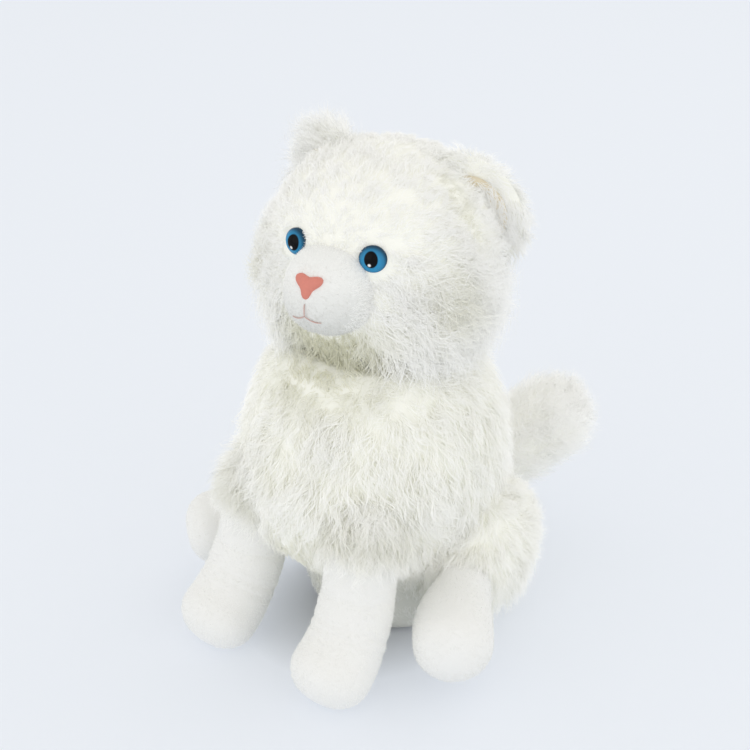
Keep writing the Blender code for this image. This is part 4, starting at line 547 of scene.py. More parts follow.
def hair_faces(rings):
    """The triangles of one hair: bands of six between its rings, three to its tip and one over its root."""
    k = np.arange(3)
    following = (k + 1) % 3
    faces = [(0, 2, 1)]
    for low in range(0, 3 * rings - 3, 3):
        faces += np.stack([low + k, low + following, low + 3 + following], -1).tolist()
        faces += np.stack([low + k, low + 3 + following, low + 3 + k], -1).tolist()
    last = 3 * rings - 3
    faces += np.stack([last + k, last + following, 0 * k + 3 * rings], -1).tolist()
    return np.array(faces)


def wander(points, size, seed):
    """A value that drifts smoothly over space, about -1 to 1: the mean of eight random sine waves."""
    dice = np.random.default_rng(seed)
    headings = unit(dice.normal(size=(8, 3))) * 2 * np.pi / size
    return 2 * np.sin(points @ headings.T + dice.uniform(0, 2 * np.pi, 8)).mean(-1)


def flat_comb(comb, out):
    """The comb laid flat on the skin."""
    return unit(comb - out * np.sum(comb * out, 1, keepdims=True))


def hair_map(tint, steps, up):
    """Map points of every hair: its tint-and-shade column, a little apart round the hair, and the share up it.
    """
    column = (tint[:, None] + 0.15 + 0.35 * np.array(steps)[None]) / TINT_AND_SHADE_STEPS
    return np.stack([column, np.broadcast_to(up, column.shape)], -1).reshape(-1, 2)


def locks(
    name, seed, roots, out, comb, length, lift, hairs=10, shares=SHORT_HAIR, spread=3.6, thick=0.2, wave=0.22,
    droop=0.12, gather=0.72, wild=0.55, ruffle=0.16, shade=1.0,
):
    """Fur in locks of tapered, flattened three-sided hairs. A hair's middle runs
    root + length * (t * leave + t**2 * bend): leave stands off the skin by lift, and bend lays the hair over
    and lets it hang. The hairs of a lock start up to spread mm apart, share one wave across the comb and
    gather toward the lock's tip. The comb and the lift wander over the skin. What would hang through the
    floor lies on it. The first value of a hair's map is its lock's shade."""
    dice = np.random.default_rng(seed)
    many = len(roots)
    turn = (wild * wander(roots, 34 * MM, 1) + dice.normal(0, 0.28, many))[:, None]
    lift = lift + ruffle * wander(roots, 17 * MM, 2)
    comb = flat_comb(comb, out)
    across = np.cross(out, comb)
    comb, across = comb * np.cos(turn) + across * np.sin(turn), across * np.cos(turn) - comb * np.sin(turn)
    length = length * dice.uniform(0.7, 1.2, many)
    lift = lift + dice.normal(0, 0.1, many)
    phase = dice.uniform(0, 2 * np.pi, many)
    tint = (TINT_AND_SHADE_STEPS * np.clip(shade - 0.08 * dice.random(many), 0, 0.999)).astype(int)

    lock = np.repeat(np.arange(many), hairs)
    total = many * hairs
    spot = dice.normal(0, 0.5 * spread * MM, (total, 2))
    offset = across[lock] * spot[:, :1] + comb[lock] * spot[:, 1:]
    reach = (length[lock] * dice.uniform(0.78, 1.06, total))[:, None]
    rise = (lift[lock] + dice.normal(0, 0.13, total))[:, None]
    yaw = dice.normal(0, 0.17, total)[:, None]
    leave = (comb[lock] * np.cos(yaw) + across[lock] * np.sin(yaw)) * np.cos(rise) + out[lock] * np.sin(rise)
    bend = -0.4 * np.sin(rise) * out[lock] + droop * DOWN
    t = np.array(shares, float)[None, :, None]
    rings = len(shares) - 1
    sway = np.sin(2 * np.pi * 1.1 * t + (phase[lock] + dice.normal(0, 0.3, total))[:, None, None]) * t * wave
    line = (roots[lock] - out[lock] * 0.6 * MM)[:, None] + offset[:, None] * (1 - gather * t)
    line = line + reach[:, None] * (t * leave[:, None] + t**2 * bend[:, None] + sway * across[lock][:, None])

    fall = np.maximum(line[:, :1, 2] - line[..., 2].min(1, keepdims=True), 1e-6)
    ease = np.clip((line[:, :1, 2] - 0.5 * MM) / fall, 0, 1)
    line[..., 2] = line[:, :1, 2] + (line[..., 2] - line[:, :1, 2]) * np.where(fall > 1e-5, ease, 1)

    side = unit(np.cross(leave, out[lock]) + 1e-6)
    other = np.cross(unit(leave), side)
    around = 2 * np.pi * (np.arange(3) / 3 + 1 / 12)[None, :, None]
    ring = side[:, None] * np.cos(around) + 0.4 * other[:, None] * np.sin(around)
    taper = (1 - 0.8 * t[:, :-1, :, None] ** 2) * dice.uniform(0.75, 1.15, total)[:, None, None, None]
    bands = line[:, :-1, None] + thick * MM * taper * ring[:, None]
    points = np.concatenate([bands.reshape(total, 3 * rings, 3), line[:, -1:]], axis=1).reshape(-1, 3)
    points[:, 2] = np.maximum(points[:, 2], 0.1 * MM)
    faces = (hair_faces(rings)[None] + (3 * rings + 1) * np.arange(total)[:, None, None]).reshape(-1, 3)
    up = np.append(np.repeat(shares[:-1], 3) + np.tile((0, 0.01, 0.02), rings), 1.0)
    return fast_mesh(name, points, faces, hair_map(tint[lock], [0, 1, 2] * rings + [1], up))


# Painted shade: the colour that fur dims toward where its map says it lies in shadow; the slightest dimming is
# random tint.
DIM_TINT_AND_SHADE = (0.70, 0.69, 0.53)
white_fur = fibre("white_fur", (0.945, 0.943, 0.897), (0.964, 0.964, 0.951), DIM_TINT_AND_SHADE)


def torso_fur_at(turn, height):
    return torso_at(turn, 0.02 + 0.96 * height, TORSO_INSET)


dice = np.random.default_rng(11)
turn, height, roots, out = sown(torso_fur_at, TORSO_LOCKS, dice)
beside, up = roots[:, 0], roots[:, 2]
from_whorl = roots - CHEST_WHORL
near = hump(np.linalg.norm(from_whorl, axis=1), 30 * MM)[:, None]
spiral = unit(from_whorl) + 0.8 * unit(np.cross(out, from_whorl))
comb = spiral * near * 0.7 + DOWN + out * (0.3, 0.3, 0)
front = ramp(-out[:, 1], 0.1, 0.5)
under = front * ramp(up, 74 * MM, -16 * MM)
tier = front * hump(up - 118 * MM, 11 * MM)
behind_leg = front * hump(np.abs(beside) - 37 * MM, 17 * MM) * (up < 100 * MM)
throat = front * ramp(height, 0.9, 0.07)
between = front * hump(beside, 16 * MM) * ramp(up, 96 * MM, -14 * MM)
flank = ramp(-out[:, 0], 0.2, 0.5)
collar = front * ramp(height, 0.93, 0.05) * hump(beside, 26 * MM, 4)
comb = comb * (1 - collar[:, None]) - (DOWN + out * (0.6, 0.6, 0)) * collar[:, None]
length = (18.5 + 3 * (1 - height) + 8 * tier) * (1 - 0.5 * under) * (1 - 0.62 * behind_leg)
length = length * (1 - 0.2 * throat) * (1 - 0.35 * collar) * (1 - 0.6 * between) * (1 - 0.2 * flank) * MM
lift = 0.6 - 0.1 * (1 - height) + 0.2 * tier - 0.2 * flank + 0.2 * throat
# Painted shade in the fur's map: cream under the chin and at the collar, between the legs and a little behind
# them.
shade = 1 - throat * (0.5 * hump(beside, 32 * MM) + 0.2 * collar) - 0.4 * between - 0.08 * behind_leg
keep = (up > 6 * MM) & ((under < 0.9) | (dice.random(len(turn)) < 0.6))
quarter = np.floor(((turn + 0.125) % 1.0) * 4).astype(int)
style = dict(hairs=7, shares=LONG_HAIR, thick=0.25, spread=4.2, gather=0.8)
for i, part in enumerate(("left", "back", "right", "front")):
    pick = keep & (quarter == i)
    grows = roots[pick], out[pick], comb[pick], length[pick], lift[pick]
    fur = locks(f"torso_fur_{part}", 20 + i, *grows, **style, shade=shade[pick])
    furnish(fur, white_fur, "torso")


# Front legs. A sleeve sewn into the chest over a short-pile paw: a stuffed tube with a round foot, creased
# over the instep. The sleeve's long fur hangs from its shoulder and is clipped short toward the paw.
SIDES = (("left", 1), ("right", -1))
LEG_LEAN = math.radians(15)
LEG_SPLAY = math.radians(4)
SHOULDER_RADIUS = 23 * MM
SLEEVE_LENGTH = 44 * MM
SLEEVE_INSET = 2 * MM
SLEEVE_CAP = 0.34
SLEEVE_LOCKS = 1500
SLEEVE_NAP = 1.3 * MM
SLEEVE_NAP_COUNT = 6000
PAW_NAP = 1.1 * MM
PAW_NAP_COUNT = 9500
FOOT_START = 0.7
white_pile = cloth("short_pile_cloth", (0.835, 0.835, 0.82), (0.815, 0.815, 0.795), 1500, 0.3)
white_nap = fibre("short_pile_nap", (0.88, 0.88, 0.86), (0.905, 0.905, 0.885), (0.88, 0.88, 0.86), 0.8)


def across_of(way, up):
    """Two directions across a path: a turn from the first to the second goes round the way it runs."""
    side = unit(np.cross(np.array(up, float), way))
    return side, np.cross(way, side)


def spin(sides, turn, wide, tall):
    """Steps from a path's middle to the ellipse round it."""
    a = 2 * np.pi * turn[..., None]
    return sides[0] * np.cos(a) * wide[..., None] + sides[1] * np.sin(a) * tall[..., None]


def cones(name, seed, roots, out, comb, length, thick=0.14, shade=1.0):
    """Short pile: a slim three-sided cone at each place, leaning along the comb, shaded as locks are."""
    dice = np.random.default_rng(seed)
    total = len(roots)
    comb = flat_comb(comb, out)
    lean = unit(comb * 0.9 + out + dice.normal(0, 0.25, (total, 3)))
    side = unit(np.cross(lean, out) + 1e-6)
    other = np.cross(lean, side)
    around = (2 * np.pi * np.arange(3) / 3)[None, :, None]
    ring = side[:, None] * np.cos(around) + other[:, None] * np.sin(around)
    base = (roots - out * 0.2 * MM)[:, None] + ring * thick * MM
    tip = roots + lean * (length * dice.uniform(0.7, 1.1, total))[:, None]
    points = np.concatenate([base, tip[:, None]], axis=1).reshape(-1, 3)
    points[:, 2] = np.maximum(points[:, 2], 0.1 * MM)
    faces = np.array([(0, 1, 3), (1, 2, 3), (2, 0, 3), (0, 2, 1)])
    faces = (faces[None] + 4 * np.arange(total)[:, None, None]).reshape(-1, 3)
    tint = (TINT_AND_SHADE_STEPS * np.clip(shade - 0.08 * dice.random(total), 0, 0.999)).astype(int)
    return fast_mesh(name, points, faces, hair_map(tint, [0, 1, 2, 1], np.array([0.0, 0.03, 0.06, 1.0])))


def nap_over(name, seed, surface, count, dice, covers, way, length, body):
    """White short pile over the part of a surface that covers(share along, points) picks, combed one way."""
    _, along, roots, out = sown(surface, count, dice)
    pick = covers(along, roots)
    comb = np.broadcast_to(way, roots.shape)[pick]
    fuzz = cones(name, seed, roots[pick], out[pick], comb, np.full(pick.sum(), length))
    furnish(fuzz, white_nap, body)


for name, side in SIDES:
    body = f"front_leg_{name}"
    shoulder = pivot[f"front_leg_{name}_swing"]
    way = unit(np.array((side * math.sin(LEG_SPLAY), -math.sin(LEG_LEAN), -math.cos(LEG_LEAN))))
    leg_sides = across_of(way, (0, -1, 0))

    def sleeve_at(turn, along, inset=SLEEVE_INSET):
        """The sleeve: a round top for the first third, then a tube that narrows a little to its hem."""
        angle = np.pi / 2 * (np.clip(along / SLEEVE_CAP, 0.02, 1) - 1)
        tube = SLEEVE_LENGTH * (along - SLEEVE_CAP) / (1 - SLEEVE_CAP)
        down = np.where(along < SLEEVE_CAP, SHOULDER_RADIUS * np.sin(angle), tube)
        narrow = SHOULDER_RADIUS - 1 * MM * along
        radius = np.where(along < SLEEVE_CAP, SHOULDER_RADIUS * np.cos(angle), narrow)
        radius = np.maximum(radius - inset, 0.5 * MM)
        return shoulder + way * down[..., None] + spin(leg_sides, turn, radius, radius)

    sleeve = shell(f"front_leg_skin_{name}", sleeve_at(*grid(np.linspace(0.01, 1, 26), 48)))
    dress(sleeve, white_pile, body, "long_pile", f"front_leg_{name}")

    dice = np.random.default_rng(40 + side)
    turn, along, roots, out = sown(sleeve_at, SLEEVE_LOCKS, dice)
    keep = (along > 0.12) & (along < 0.56 + 0.09 * wander(roots, 16 * MM, 3))
    roots, out, along = roots[keep], out[keep], along[keep]
    comb = np.broadcast_to(way, roots.shape) + np.array((side * 0.25, 0, 0))
    length = np.clip(52 * (0.84 - along), 17, 22) * MM
    lift = 0.5 + 0.45 * ramp(along, 0.36, 0.2)
    style = dict(hairs=7, shares=LONG_HAIR, spread=4.2, gather=0.85)
    # Painted shade: the sleeve's fur dims a little just under the chest's hem.
    style["shade"] = 1 - 0.22 * hump(along - 0.33, 0.08)
    fur = locks(f"front_leg_fur_{name}", 50 + side, roots, out, comb, length, lift, **style)
    furnish(fur, white_fur, body)
    nap_over(
        f"front_leg_nap_{name}", 55 + side, sleeve_at, SLEEVE_NAP_COUNT, dice,
        lambda along, roots: (along > 0.5) & (along < 0.995), way, SLEEVE_NAP, body,
    )

    paw_low, paw_high = (np.array(corner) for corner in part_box(f"front_paw_{name}"))
    hem = shoulder + way * (SLEEVE_LENGTH - 8 * MM)
    toe = np.array(((paw_low[0] + paw_high[0]) / 2, paw_low[1] + 19 * MM, 18.5 * MM))
    ankle = shoulder + way * ((shoulder[2] - 31 * MM) / -way[2])

    def leg_path(share):
        """From the hem to the toe: a curve that leaves along the leg and bends forward."""
        s = share[..., None]
        return (1 - s) ** 2 * hem + 2 * s * (1 - s) * ankle + s**2 * toe

    def paw_at(turn, along):
        """A tube along the leg path that swells toward the foot and ends in a dome, flat on the floor."""
        end = np.clip((along - FOOT_START) / 0.3, 0, 1)
        dome = np.maximum(1 - end**2.4, 0.0) ** 0.5
        share = np.clip(along / FOOT_START, 0, 1)
        sewn = 3 * np.exp(-share / 0.06)
        ripple = 1 + np.sin(44 * share + 2 * np.sin(2 * np.pi * turn))
        crease = 0.35 * ripple * hump(share - 0.5, 0.2)
        wide = (20.5 + 2.9 * share - sewn - crease) * MM * dome
        tall = (20.5 + 0.3 * share - sewn - crease) * MM * dome
        small = 1e-3
        forward = unit(leg_path(share + small) - leg_path(share - small))
        points = leg_path(share) + forward * (end[..., None] * 20 * MM)
        points = points + spin(across_of(forward, (0, -0.5, 1)), turn, wide, tall)
        points[..., 2] = np.maximum(points[..., 2], 0.2 * MM)
        return points

    foot_rows = FOOT_START + 0.3 * np.sin(np.linspace(0.02, 1.54, 16))
    paw_rows = np.concatenate([np.linspace(0, 0.69, 24), foot_rows])
    paw = shell(f"front_paw_skin_{name}", paw_at(*grid(paw_rows, 56)))
    dress(paw, white_pile, body, "short_pile", f"front_paw_{name}", fill=0.9)
    nap_over(
        f"front_paw_nap_{name}", 62 + side, paw_at, PAW_NAP_COUNT, np.random.default_rng(60 + side),
        lambda along, roots: (along < 0.98) & (roots[:, 2] > 0.6 * MM), way, PAW_NAP, body,
    )


# Haunches and hind paws. Each haunch is a round furry cushion sewn to the side of the seat, with a short-pile
# paw that points forward and out.
THIGH_HALF = np.array((27, 48, 44)) * MM
THIGH_INSET = 2 * MM
THIGH_LOCKS = 1350
THIGH_HAIR = 18 * MM
HIND_SPLAY = math.radians(38)
HIND_DROP = math.radians(5)
HIND_RADIUS = 22 * MM
HIND_REACH = 60 * MM
HIND_INNER = 63.8 * MM
HIND_BACK = 0.25
HIND_TOE = 0.6
HIND_NAP_COUNT = 9000


def ball(turn, height):
    """A unit ball at a share of a turn and of its height, both taken as angles."""
    a = 2 * np.pi * turn
    b = np.pi * (np.clip(height, 0.01, 0.99) - 0.5)
    return np.stack([np.cos(b) * np.cos(a), np.cos(b) * np.sin(a), np.sin(b) + 0 * a], -1)


def tube_rows(back, end, middle_count, end_count):
    """Shares along a tube with a round back and a round end, closer together where it curves in."""
    back_rows = back * (1 - np.sin(np.linspace(1.5, 0.2, 8)))
    end_rows = end + (1 - end) * np.sin(np.linspace(0.1, 1.54, end_count))
    return np.concatenate([back_rows, np.linspace(back, end, middle_count), end_rows])


def beyond(points, side, inner):
    """Presses points flat where they would come nearer the middle than inner, on one side."""
    points[..., 0] = side * np.maximum(side * points[..., 0], side * inner)
    return points


for name, side in SIDES:
    body = f"hind_leg_{name}"
    hip = pivot[f"hind_leg_{name}_swing"]
    middle = hip + (side * 4 * MM, 0, 0)

    def thigh_at(turn, height, inset=THIGH_INSET):
        """Half a cushion: an ellipsoid round the hip, flat on the body's side and on the floor."""
        points = beyond(middle + ball(turn, height) * (THIGH_HALF - inset), side, hip[0] + side * 0.5 * MM)
        points[..., 2] = np.maximum(points[..., 2], 0.5 * MM)
        return points

    thigh = shell(f"thigh_skin_{name}", thigh_at(*grid(np.linspace(0.02, 0.98, 30), 56)))
    dress(thigh, backing, body, "long_pile", f"thigh_{name}")
    roots = thigh_at(*scatter(thigh_at, THIGH_LOCKS, np.random.default_rng(70 + side)))
    roots = roots[(side * (roots[:, 0] - hip[0]) > 3 * MM) & (roots[:, 2] > 2 * MM)]
    out = unit((roots - middle) / THIGH_HALF**2)
    comb = (roots - middle) * (0.3, 0.7, 0.7) + np.array((0, 0.004, -0.025))
    fur = locks(f"thigh_fur_{name}", 72 + side, roots, out, comb, THIGH_HAIR, 0.5)
    furnish(fur, white_fur, body)

    level = np.array((side * math.sin(HIND_SPLAY), -math.cos(HIND_SPLAY), 0))
    point = level * math.cos(HIND_DROP) + DOWN * math.sin(HIND_DROP)
    start = np.array((hip[0] + side * 14 * MM, neck[1] - 12 * MM, 37 * MM))
    paw_sides = across_of(point, (0, 0, 1))

    def hind_at(turn, along):
        """A short stuffed tube: round at the back where it is sewn in, slimmer at the ankle, a blunt toe."""
        back = np.clip(1 - along / HIND_BACK, 0, 1)
        end = np.clip((along - HIND_TOE) / 0.4, 0, 1)
        radius = HIND_RADIUS * np.sqrt(np.maximum(1 - back**2, 0)) * np.sqrt(np.maximum(1 - end**3, 0))
        shaft = (HIND_REACH - HIND_RADIUS) * np.clip((along - HIND_BACK) / 0.35, 0, 1)
        run = -HIND_RADIUS * back + shaft + HIND_RADIUS * end
        radius = radius * (1 - 0.04 * hump(along - 0.35, 0.08))
        points = start + point * run[..., None] + spin(paw_sides, turn, radius, radius)
        return beyond(points, side, side * HIND_INNER)

    paw = shell(f"hind_paw_skin_{name}", hind_at(*grid(tube_rows(HIND_BACK, HIND_TOE, 12, 14), 56)))
    dress(paw, white_pile, body, "short_pile", f"hind_paw_{name}", fill=0.9)
    nap_over(
        f"hind_paw_nap_{name}", 82 + side, hind_at, HIND_NAP_COUNT, np.random.default_rng(80 + side),
        lambda along, roots: (along > 0.1) & (along < 0.985) & (side * roots[:, 0] > HIND_INNER + 0.7 * MM),
        point, PAW_NAP, body,
    )


# Tail. A stuffed long-pile tube sewn to the back, bent up and to the left. Its fur is combed toward the tip
# and is the longest there. Its backing and fur are painted whiter than the body's, as light where the body
# shades the tail.
TAIL_BASE = 22 * MM
TAIL_THICK = 24 * MM
TAIL_RUN = np.array((0, 51, 0)) * MM
TAIL_BEND = np.array((24, 0, 26)) * MM
TAIL_INSET = 2.5 * MM
TAIL_ROOT = 0.22
TAIL_END = 0.72
TAIL_LOCKS = 1500
tail_root = pivot["tail_swing"]


def tail_at(turn, along, inset=TAIL_INSET):
    """A round root, a tube that thickens a little and bends as the square of the way, and a round end."""
    back = np.clip(1 - along / TAIL_ROOT, 0, 1)
    end = np.clip((along - TAIL_END) / 0.28, 0, 1)
    share = np.clip((along - TAIL_ROOT) / 0.5, 0, 1)
    radius = TAIL_BASE + (TAIL_THICK - TAIL_BASE) * np.sin(np.pi / 2 * share) - inset
    dome = np.sqrt(np.maximum(1 - back**2, 0)) * np.sqrt(np.maximum(1 - end**2, 0))
    s = share[..., None]
    way = unit(TAIL_RUN + 2 * TAIL_BEND * s)
    points = tail_root + TAIL_BEND * s**2 + TAIL_RUN * s + way * ((end - back) * radius)[..., None]
    return points + spin(across_of(way, (0, 0, 1)), turn, radius * dome, radius * dome)


tail_skin = shell("tail_skin", tail_at(*grid(tube_rows(TAIL_ROOT, TAIL_END, 20, 12), 48)))
# Painted light: the tail's backing and fibre are whiter than the body's, to make up for the body's shadow.
tail_backing = cloth("tail_backing", (0.95, 0.95, 0.92), (0.94, 0.94, 0.90), 700, 0.5)
dress(tail_skin, tail_backing, "tail", "long_pile", "tail")
turn, along, roots, out = sown(tail_at, TAIL_LOCKS, np.random.default_rng(90))
keep = along > 0.1
along, roots, out = np.clip(along[keep], 0, 1), roots[keep], out[keep]
comb = unit(TAIL_RUN + 2 * TAIL_BEND * along[:, None]) + out * 0.2
style = dict(hairs=7, shares=LONG_HAIR, droop=0.05, wave=0.35, gather=0.88)
tail_fur = locks("tail_fur", 91, roots, out, comb, (14 + 13 * along) * MM, 0.6, **style)
furnish(tail_fur, fibre("tail_fibre", (0.992, 0.992, 0.984), (0.995, 0.995, 0.991), DIM_TINT_AND_SHADE), "tail")


# Head. A round long-pile ball of fibre fill clamped to the neck plate, turned a little to its left. Its fur
# grows out from the face: short on the brow, long and wavy on the cheeks, and short under the chin and in the
# fold before each ear. It is painted cream as shade under the chin and behind each cheek, and in the fold as
# the tan lining seen there and the fold's shade.
HEAD_BOTTOM = neck[2]
HEAD_HEIGHT = 109 * MM
HEAD_HALF_WIDTH = 66 * MM
HEAD_HALF_DEPTH = 60 * MM
HEAD_TURN = math.radians(10)
HEAD_INSET = 2 * MM
HEAD_LOCKS = 5200
STRAY_HAIR = 23 * MM
HEAD_ROWS = np.array(
    [
        (0, 0.66, 0.68, 0), (0.09, 0.84, 0.87, 0.01), (0.25, 0.98, 0.98, 0.02), (0.45, 1, 1, 0.05),
        (0.65, 0.93, 0.95, 0.08), (0.82, 0.74, 0.77, 0.11), (0.94, 0.44, 0.46, 0.13), (1, 0, 0, 0.14),
    ]
)
EYE_OUT = 22.5 * MM
EYE_HEIGHT = HEAD_BOTTOM + 66 * MM
MUZZLE_HALF = np.array((26, 30, 23)) * MM
MUZZLE_HEIGHT = HEAD_BOTTOM + 44 * MM
FACE_HEIGHT = HEAD_BOTTOM + 58 * MM
EAR_ROOT = np.array((38, 10, 84)) * MM
FOLD_LOW = np.array((60.6, -7.1, 68.4)) * MM
FOLD_HIGH = np.array((39.6, -1.9, 94.7)) * MM
CHEEK_HOLLOW = np.array((54, -31, 44)) * MM
head_spin = np.array(Matrix.Rotation(HEAD_TURN, 3, "Z"))


def turned(points):
    """From the head's own straight-ahead frame, with the neck at x 0, y 0, to where the head rests."""
    return points @ head_spin.T + neck * (1, 1, 0)


def straight(points):
    return (points - neck * (1, 1, 0)) @ head_spin


def head_local(turn, height, inset=HEAD_INSET):
    """The head, facing -Y: an ellipse at each share of its height."""
    shape = np.maximum(through(HEAD_ROWS, height), -1)
    a = 2 * np.pi * turn
    scale = (HEAD_HEIGHT / 2 - inset) / (HEAD_HEIGHT / 2)
    wide = np.maximum(shape[..., 0] * HEAD_HALF_WIDTH * scale, 0.2 * MM)
    deep = np.maximum(shape[..., 1] * HEAD_HALF_DEPTH * scale, 0.2 * MM)
    x = wide * np.cos(a)
    y = shape[..., 2] * HEAD_HALF_DEPTH + deep * np.sin(a)
    z = HEAD_BOTTOM + HEAD_HEIGHT / 2 + (height - 0.5) * HEAD_HEIGHT * scale
    return np.stack([x, y, z + 0 * a], -1)


def head_front(x, z):
    """How far forward the head's outside reaches at a place beside its middle."""
    shape = through(HEAD_ROWS, np.array((z - HEAD_BOTTOM) / HEAD_HEIGHT))
    edge = math.sqrt(max(1 - (x / (shape[0] * HEAD_HALF_WIDTH)) ** 2, 0))
    return shape[2] * HEAD_HALF_DEPTH - shape[1] * HEAD_HALF_DEPTH * edge


muzzle_middle = np.array((0, head_front(0, MUZZLE_HEIGHT) + 10 * MM, MUZZLE_HEIGHT))
eye_middles = [np.array((s * EYE_OUT, head_front(EYE_OUT, EYE_HEIGHT) + 4 * MM, EYE_HEIGHT)) for s in (1, -1)]
face_middle = np.array((0, head_front(0, FACE_HEIGHT), FACE_HEIGHT))


def head_at(turn, height):
    return turned(head_local(turn, np.clip(height, 0.004, 0.996)))


head_rows = 0.5 - 0.5 * np.cos(np.linspace(0.05, np.pi - 0.05, 44))
head_skin = shell("head_skin", head_at(*grid(head_rows, 80)))
dress(head_skin, backing, "head", "long_pile", "head")

dice = np.random.default_rng(100)
turn, height, roots, out = sown(head_at, HEAD_LOCKS, dice)
local = straight(roots)
eye_gap = np.min([np.linalg.norm((local - e) * (1, 0.6, 1), axis=1) for e in eye_middles], axis=0)
muzzle_gap = np.linalg.norm((local - muzzle_middle) / (MUZZLE_HALF * (1, 1.1, 1)), axis=1)
keep = (eye_gap > 9 * MM) & (muzzle_gap > 0.9) & (height > 0.02)
roots, out, local, eye_gap = roots[keep], out[keep], local[keep], eye_gap[keep]
x, y, up = local[:, 0], local[:, 1], local[:, 2] - HEAD_BOTTOM
mirrored = np.stack([np.abs(x), y, up], -1)
from_face = local - face_middle
far = ramp(np.linalg.norm(from_face * (1, 0.7, 1), axis=1), 16 * MM, 36 * MM)
low = ramp(up, 74 * MM, -40 * MM)
hem = ramp(up, 32 * MM, -30 * MM)
over_eye = np.clip(1.6 - eye_gap / (9 * MM), 0, 0.6) * (local[:, 2] > EYE_HEIGHT)
comb = unit(from_face) + np.array((0, 0.35, 0)) + DOWN * (0.7 * low + 1.3 * hem + 3.5 * over_eye)[:, None]
comb = comb @ head_spin.T
brow = hump(local[:, 2] - EYE_HEIGHT - 4 * MM, 6 * MM) * (np.abs(x) < 15 * MM)
chin = hump(x, 25 * MM, 4) * ramp(up, 36 * MM, -10 * MM) * (y < -10 * MM)
cut = 0.7 * chin * np.clip((up - 5 * MM) / (9 * MM), 0.25, 1)
tuft = hump(np.linalg.norm(mirrored - EAR_ROOT, axis=1), 17 * MM) * np.where(x > 0, 0.2, 1)
fold = FOLD_HIGH - FOLD_LOW
along = np.clip((mirrored - FOLD_LOW) @ fold / (fold @ fold), 0, 1)[:, None]
crease = hump(np.linalg.norm(mirrored - FOLD_LOW - along * fold, axis=1), 5.5 * MM)
hollow = hump(np.linalg.norm(mirrored - CHEEK_HOLLOW, axis=1), 14 * MM)
length = (4.5 + 6 * far + 23 * far * low + 5 * hem * far + 2 * brow) * (1 - cut) + 9 * tuft
length = length * (1 - 0.6 * crease) * MM
lift = 0.4 + 0.22 * far - 0.2 * far * low + 0.25 * hem + 0.3 * brow + 0.3 * tuft
# Painted shade: cream under the chin and behind each cheek; in the fold before each ear it stands for the tan
# lining seen in the fold and the fold's shade.
shade = 1 - 0.8 * chin - 0.5 * crease - 0.4 * hollow
head_fur = fibre("head_fur", (0.946, 0.945, 0.925), (0.962, 0.963, 0.962), DIM_TINT_AND_SHADE)
sector = np.where(y < -20 * MM, 0, np.where(x > 0, 1, 2)) + np.where(far * low > 0.25, 3, 0)
short_style = dict(hairs=10, spread=3.2, thick=0.18, wild=0.25, ruffle=0.05)
long_style = dict(hairs=7, shares=LONG_HAIR, spread=4.8, gather=0.88, wave=0.34, ruffle=0.22)
for i, part in enumerate(("face", "left", "right", "cheeks", "ruff_left", "ruff_right")):
    pick = sector == i
    grows = roots[pick], out[pick], comb[pick], length[pick], lift[pick]
    style = short_style if i < 3 else long_style
    fur = locks(f"head_fur_{part}", 110 + i, *grows, **style, shade=shade[pick])
    furnish(fur, head_fur, "head")
cheek = (np.abs(np.abs(x) - 44 * MM) < 18 * MM) & (np.abs(up - 52 * MM) < 18 * MM) & (y < 8 * MM)
cheek &= dice.random(len(cheek)) < 0.4
aside = (np.array((0, 0.5, -0.25)) + np.sign(local[:, :1]) * np.array((0.8, 0, 0))) @ head_spin.T
style = dict(hairs=4, shares=LONG_HAIR, spread=3, gather=0.9, wave=0.6, thick=0.17, ruffle=0.25)
strays = locks("head_fur_strays", 117, roots[cheek], out[cheek], aside[cheek], STRAY_HAIR, 0.42, **style)
furnish(strays, head_fur, "head")


# Muzzle. A rounded short-pile patch sewn over a stuffed snout, painted greyer toward its chin as shade, with
# longer hair where it meets the cheeks.
MUZZLE_NAP = 1.3 * MM
MUZZLE_NAP_COUNT = 11000
MUZZLE_LOCKS = 6500
SHADE_FROM = MUZZLE_HEIGHT - 16 * MM
SHADE_RUN = 30 * MM


def muzzle_at(turn, height):
    """An ellipsoid, fuller above where it meets the brow, its lower half parted into two soft lips."""
    a = 2 * np.pi * turn
    b = np.pi * (np.clip(height, 0.01, 0.99) - 0.5)
    wide = np.where(b > 0, np.cos(b) ** 0.75, np.cos(b))
    x = wide * np.cos(a)
    y = wide * np.sin(a)
    z = np.where(b > 0, 1.16, 1) * np.sin(b) + 0 * a
    part = 0.06 * hump(x, 0.09) * np.clip(0.25 - z, 0, 1) * np.clip(-y, 0, 1)
    local = np.stack([x, y + part, z], -1) * (MUZZLE_HALF - 1 * MM)
    return turned(muzzle_middle + local)


muzzle_skin = shell("muzzle_skin", muzzle_at(*grid(np.linspace(0.02, 0.98, 40), 72)))
face_pile = cloth("face_pile_cloth", (0.83, 0.835, 0.82), (0.81, 0.815, 0.795), 1500, 0.3)
# Painted shade: the muzzle's cloth greys toward its chin.
paint_shade_below(face_pile, (0.64, 0.645, 0.62), SHADE_FROM, SHADE_FROM + SHADE_RUN)
dress(muzzle_skin, face_pile, "head", "short_pile", "muzzle", fill=0.9)
dice = np.random.default_rng(120)
turn, height, roots, out = sown(muzzle_at, MUZZLE_NAP_COUNT, dice)
keep = straight(roots)[:, 1] < muzzle_middle[1] + 6 * MM
roots, out = roots[keep], out[keep]
comb = (straight(roots) - (muzzle_middle + (0, -28 * MM, 10 * MM))) @ head_spin.T
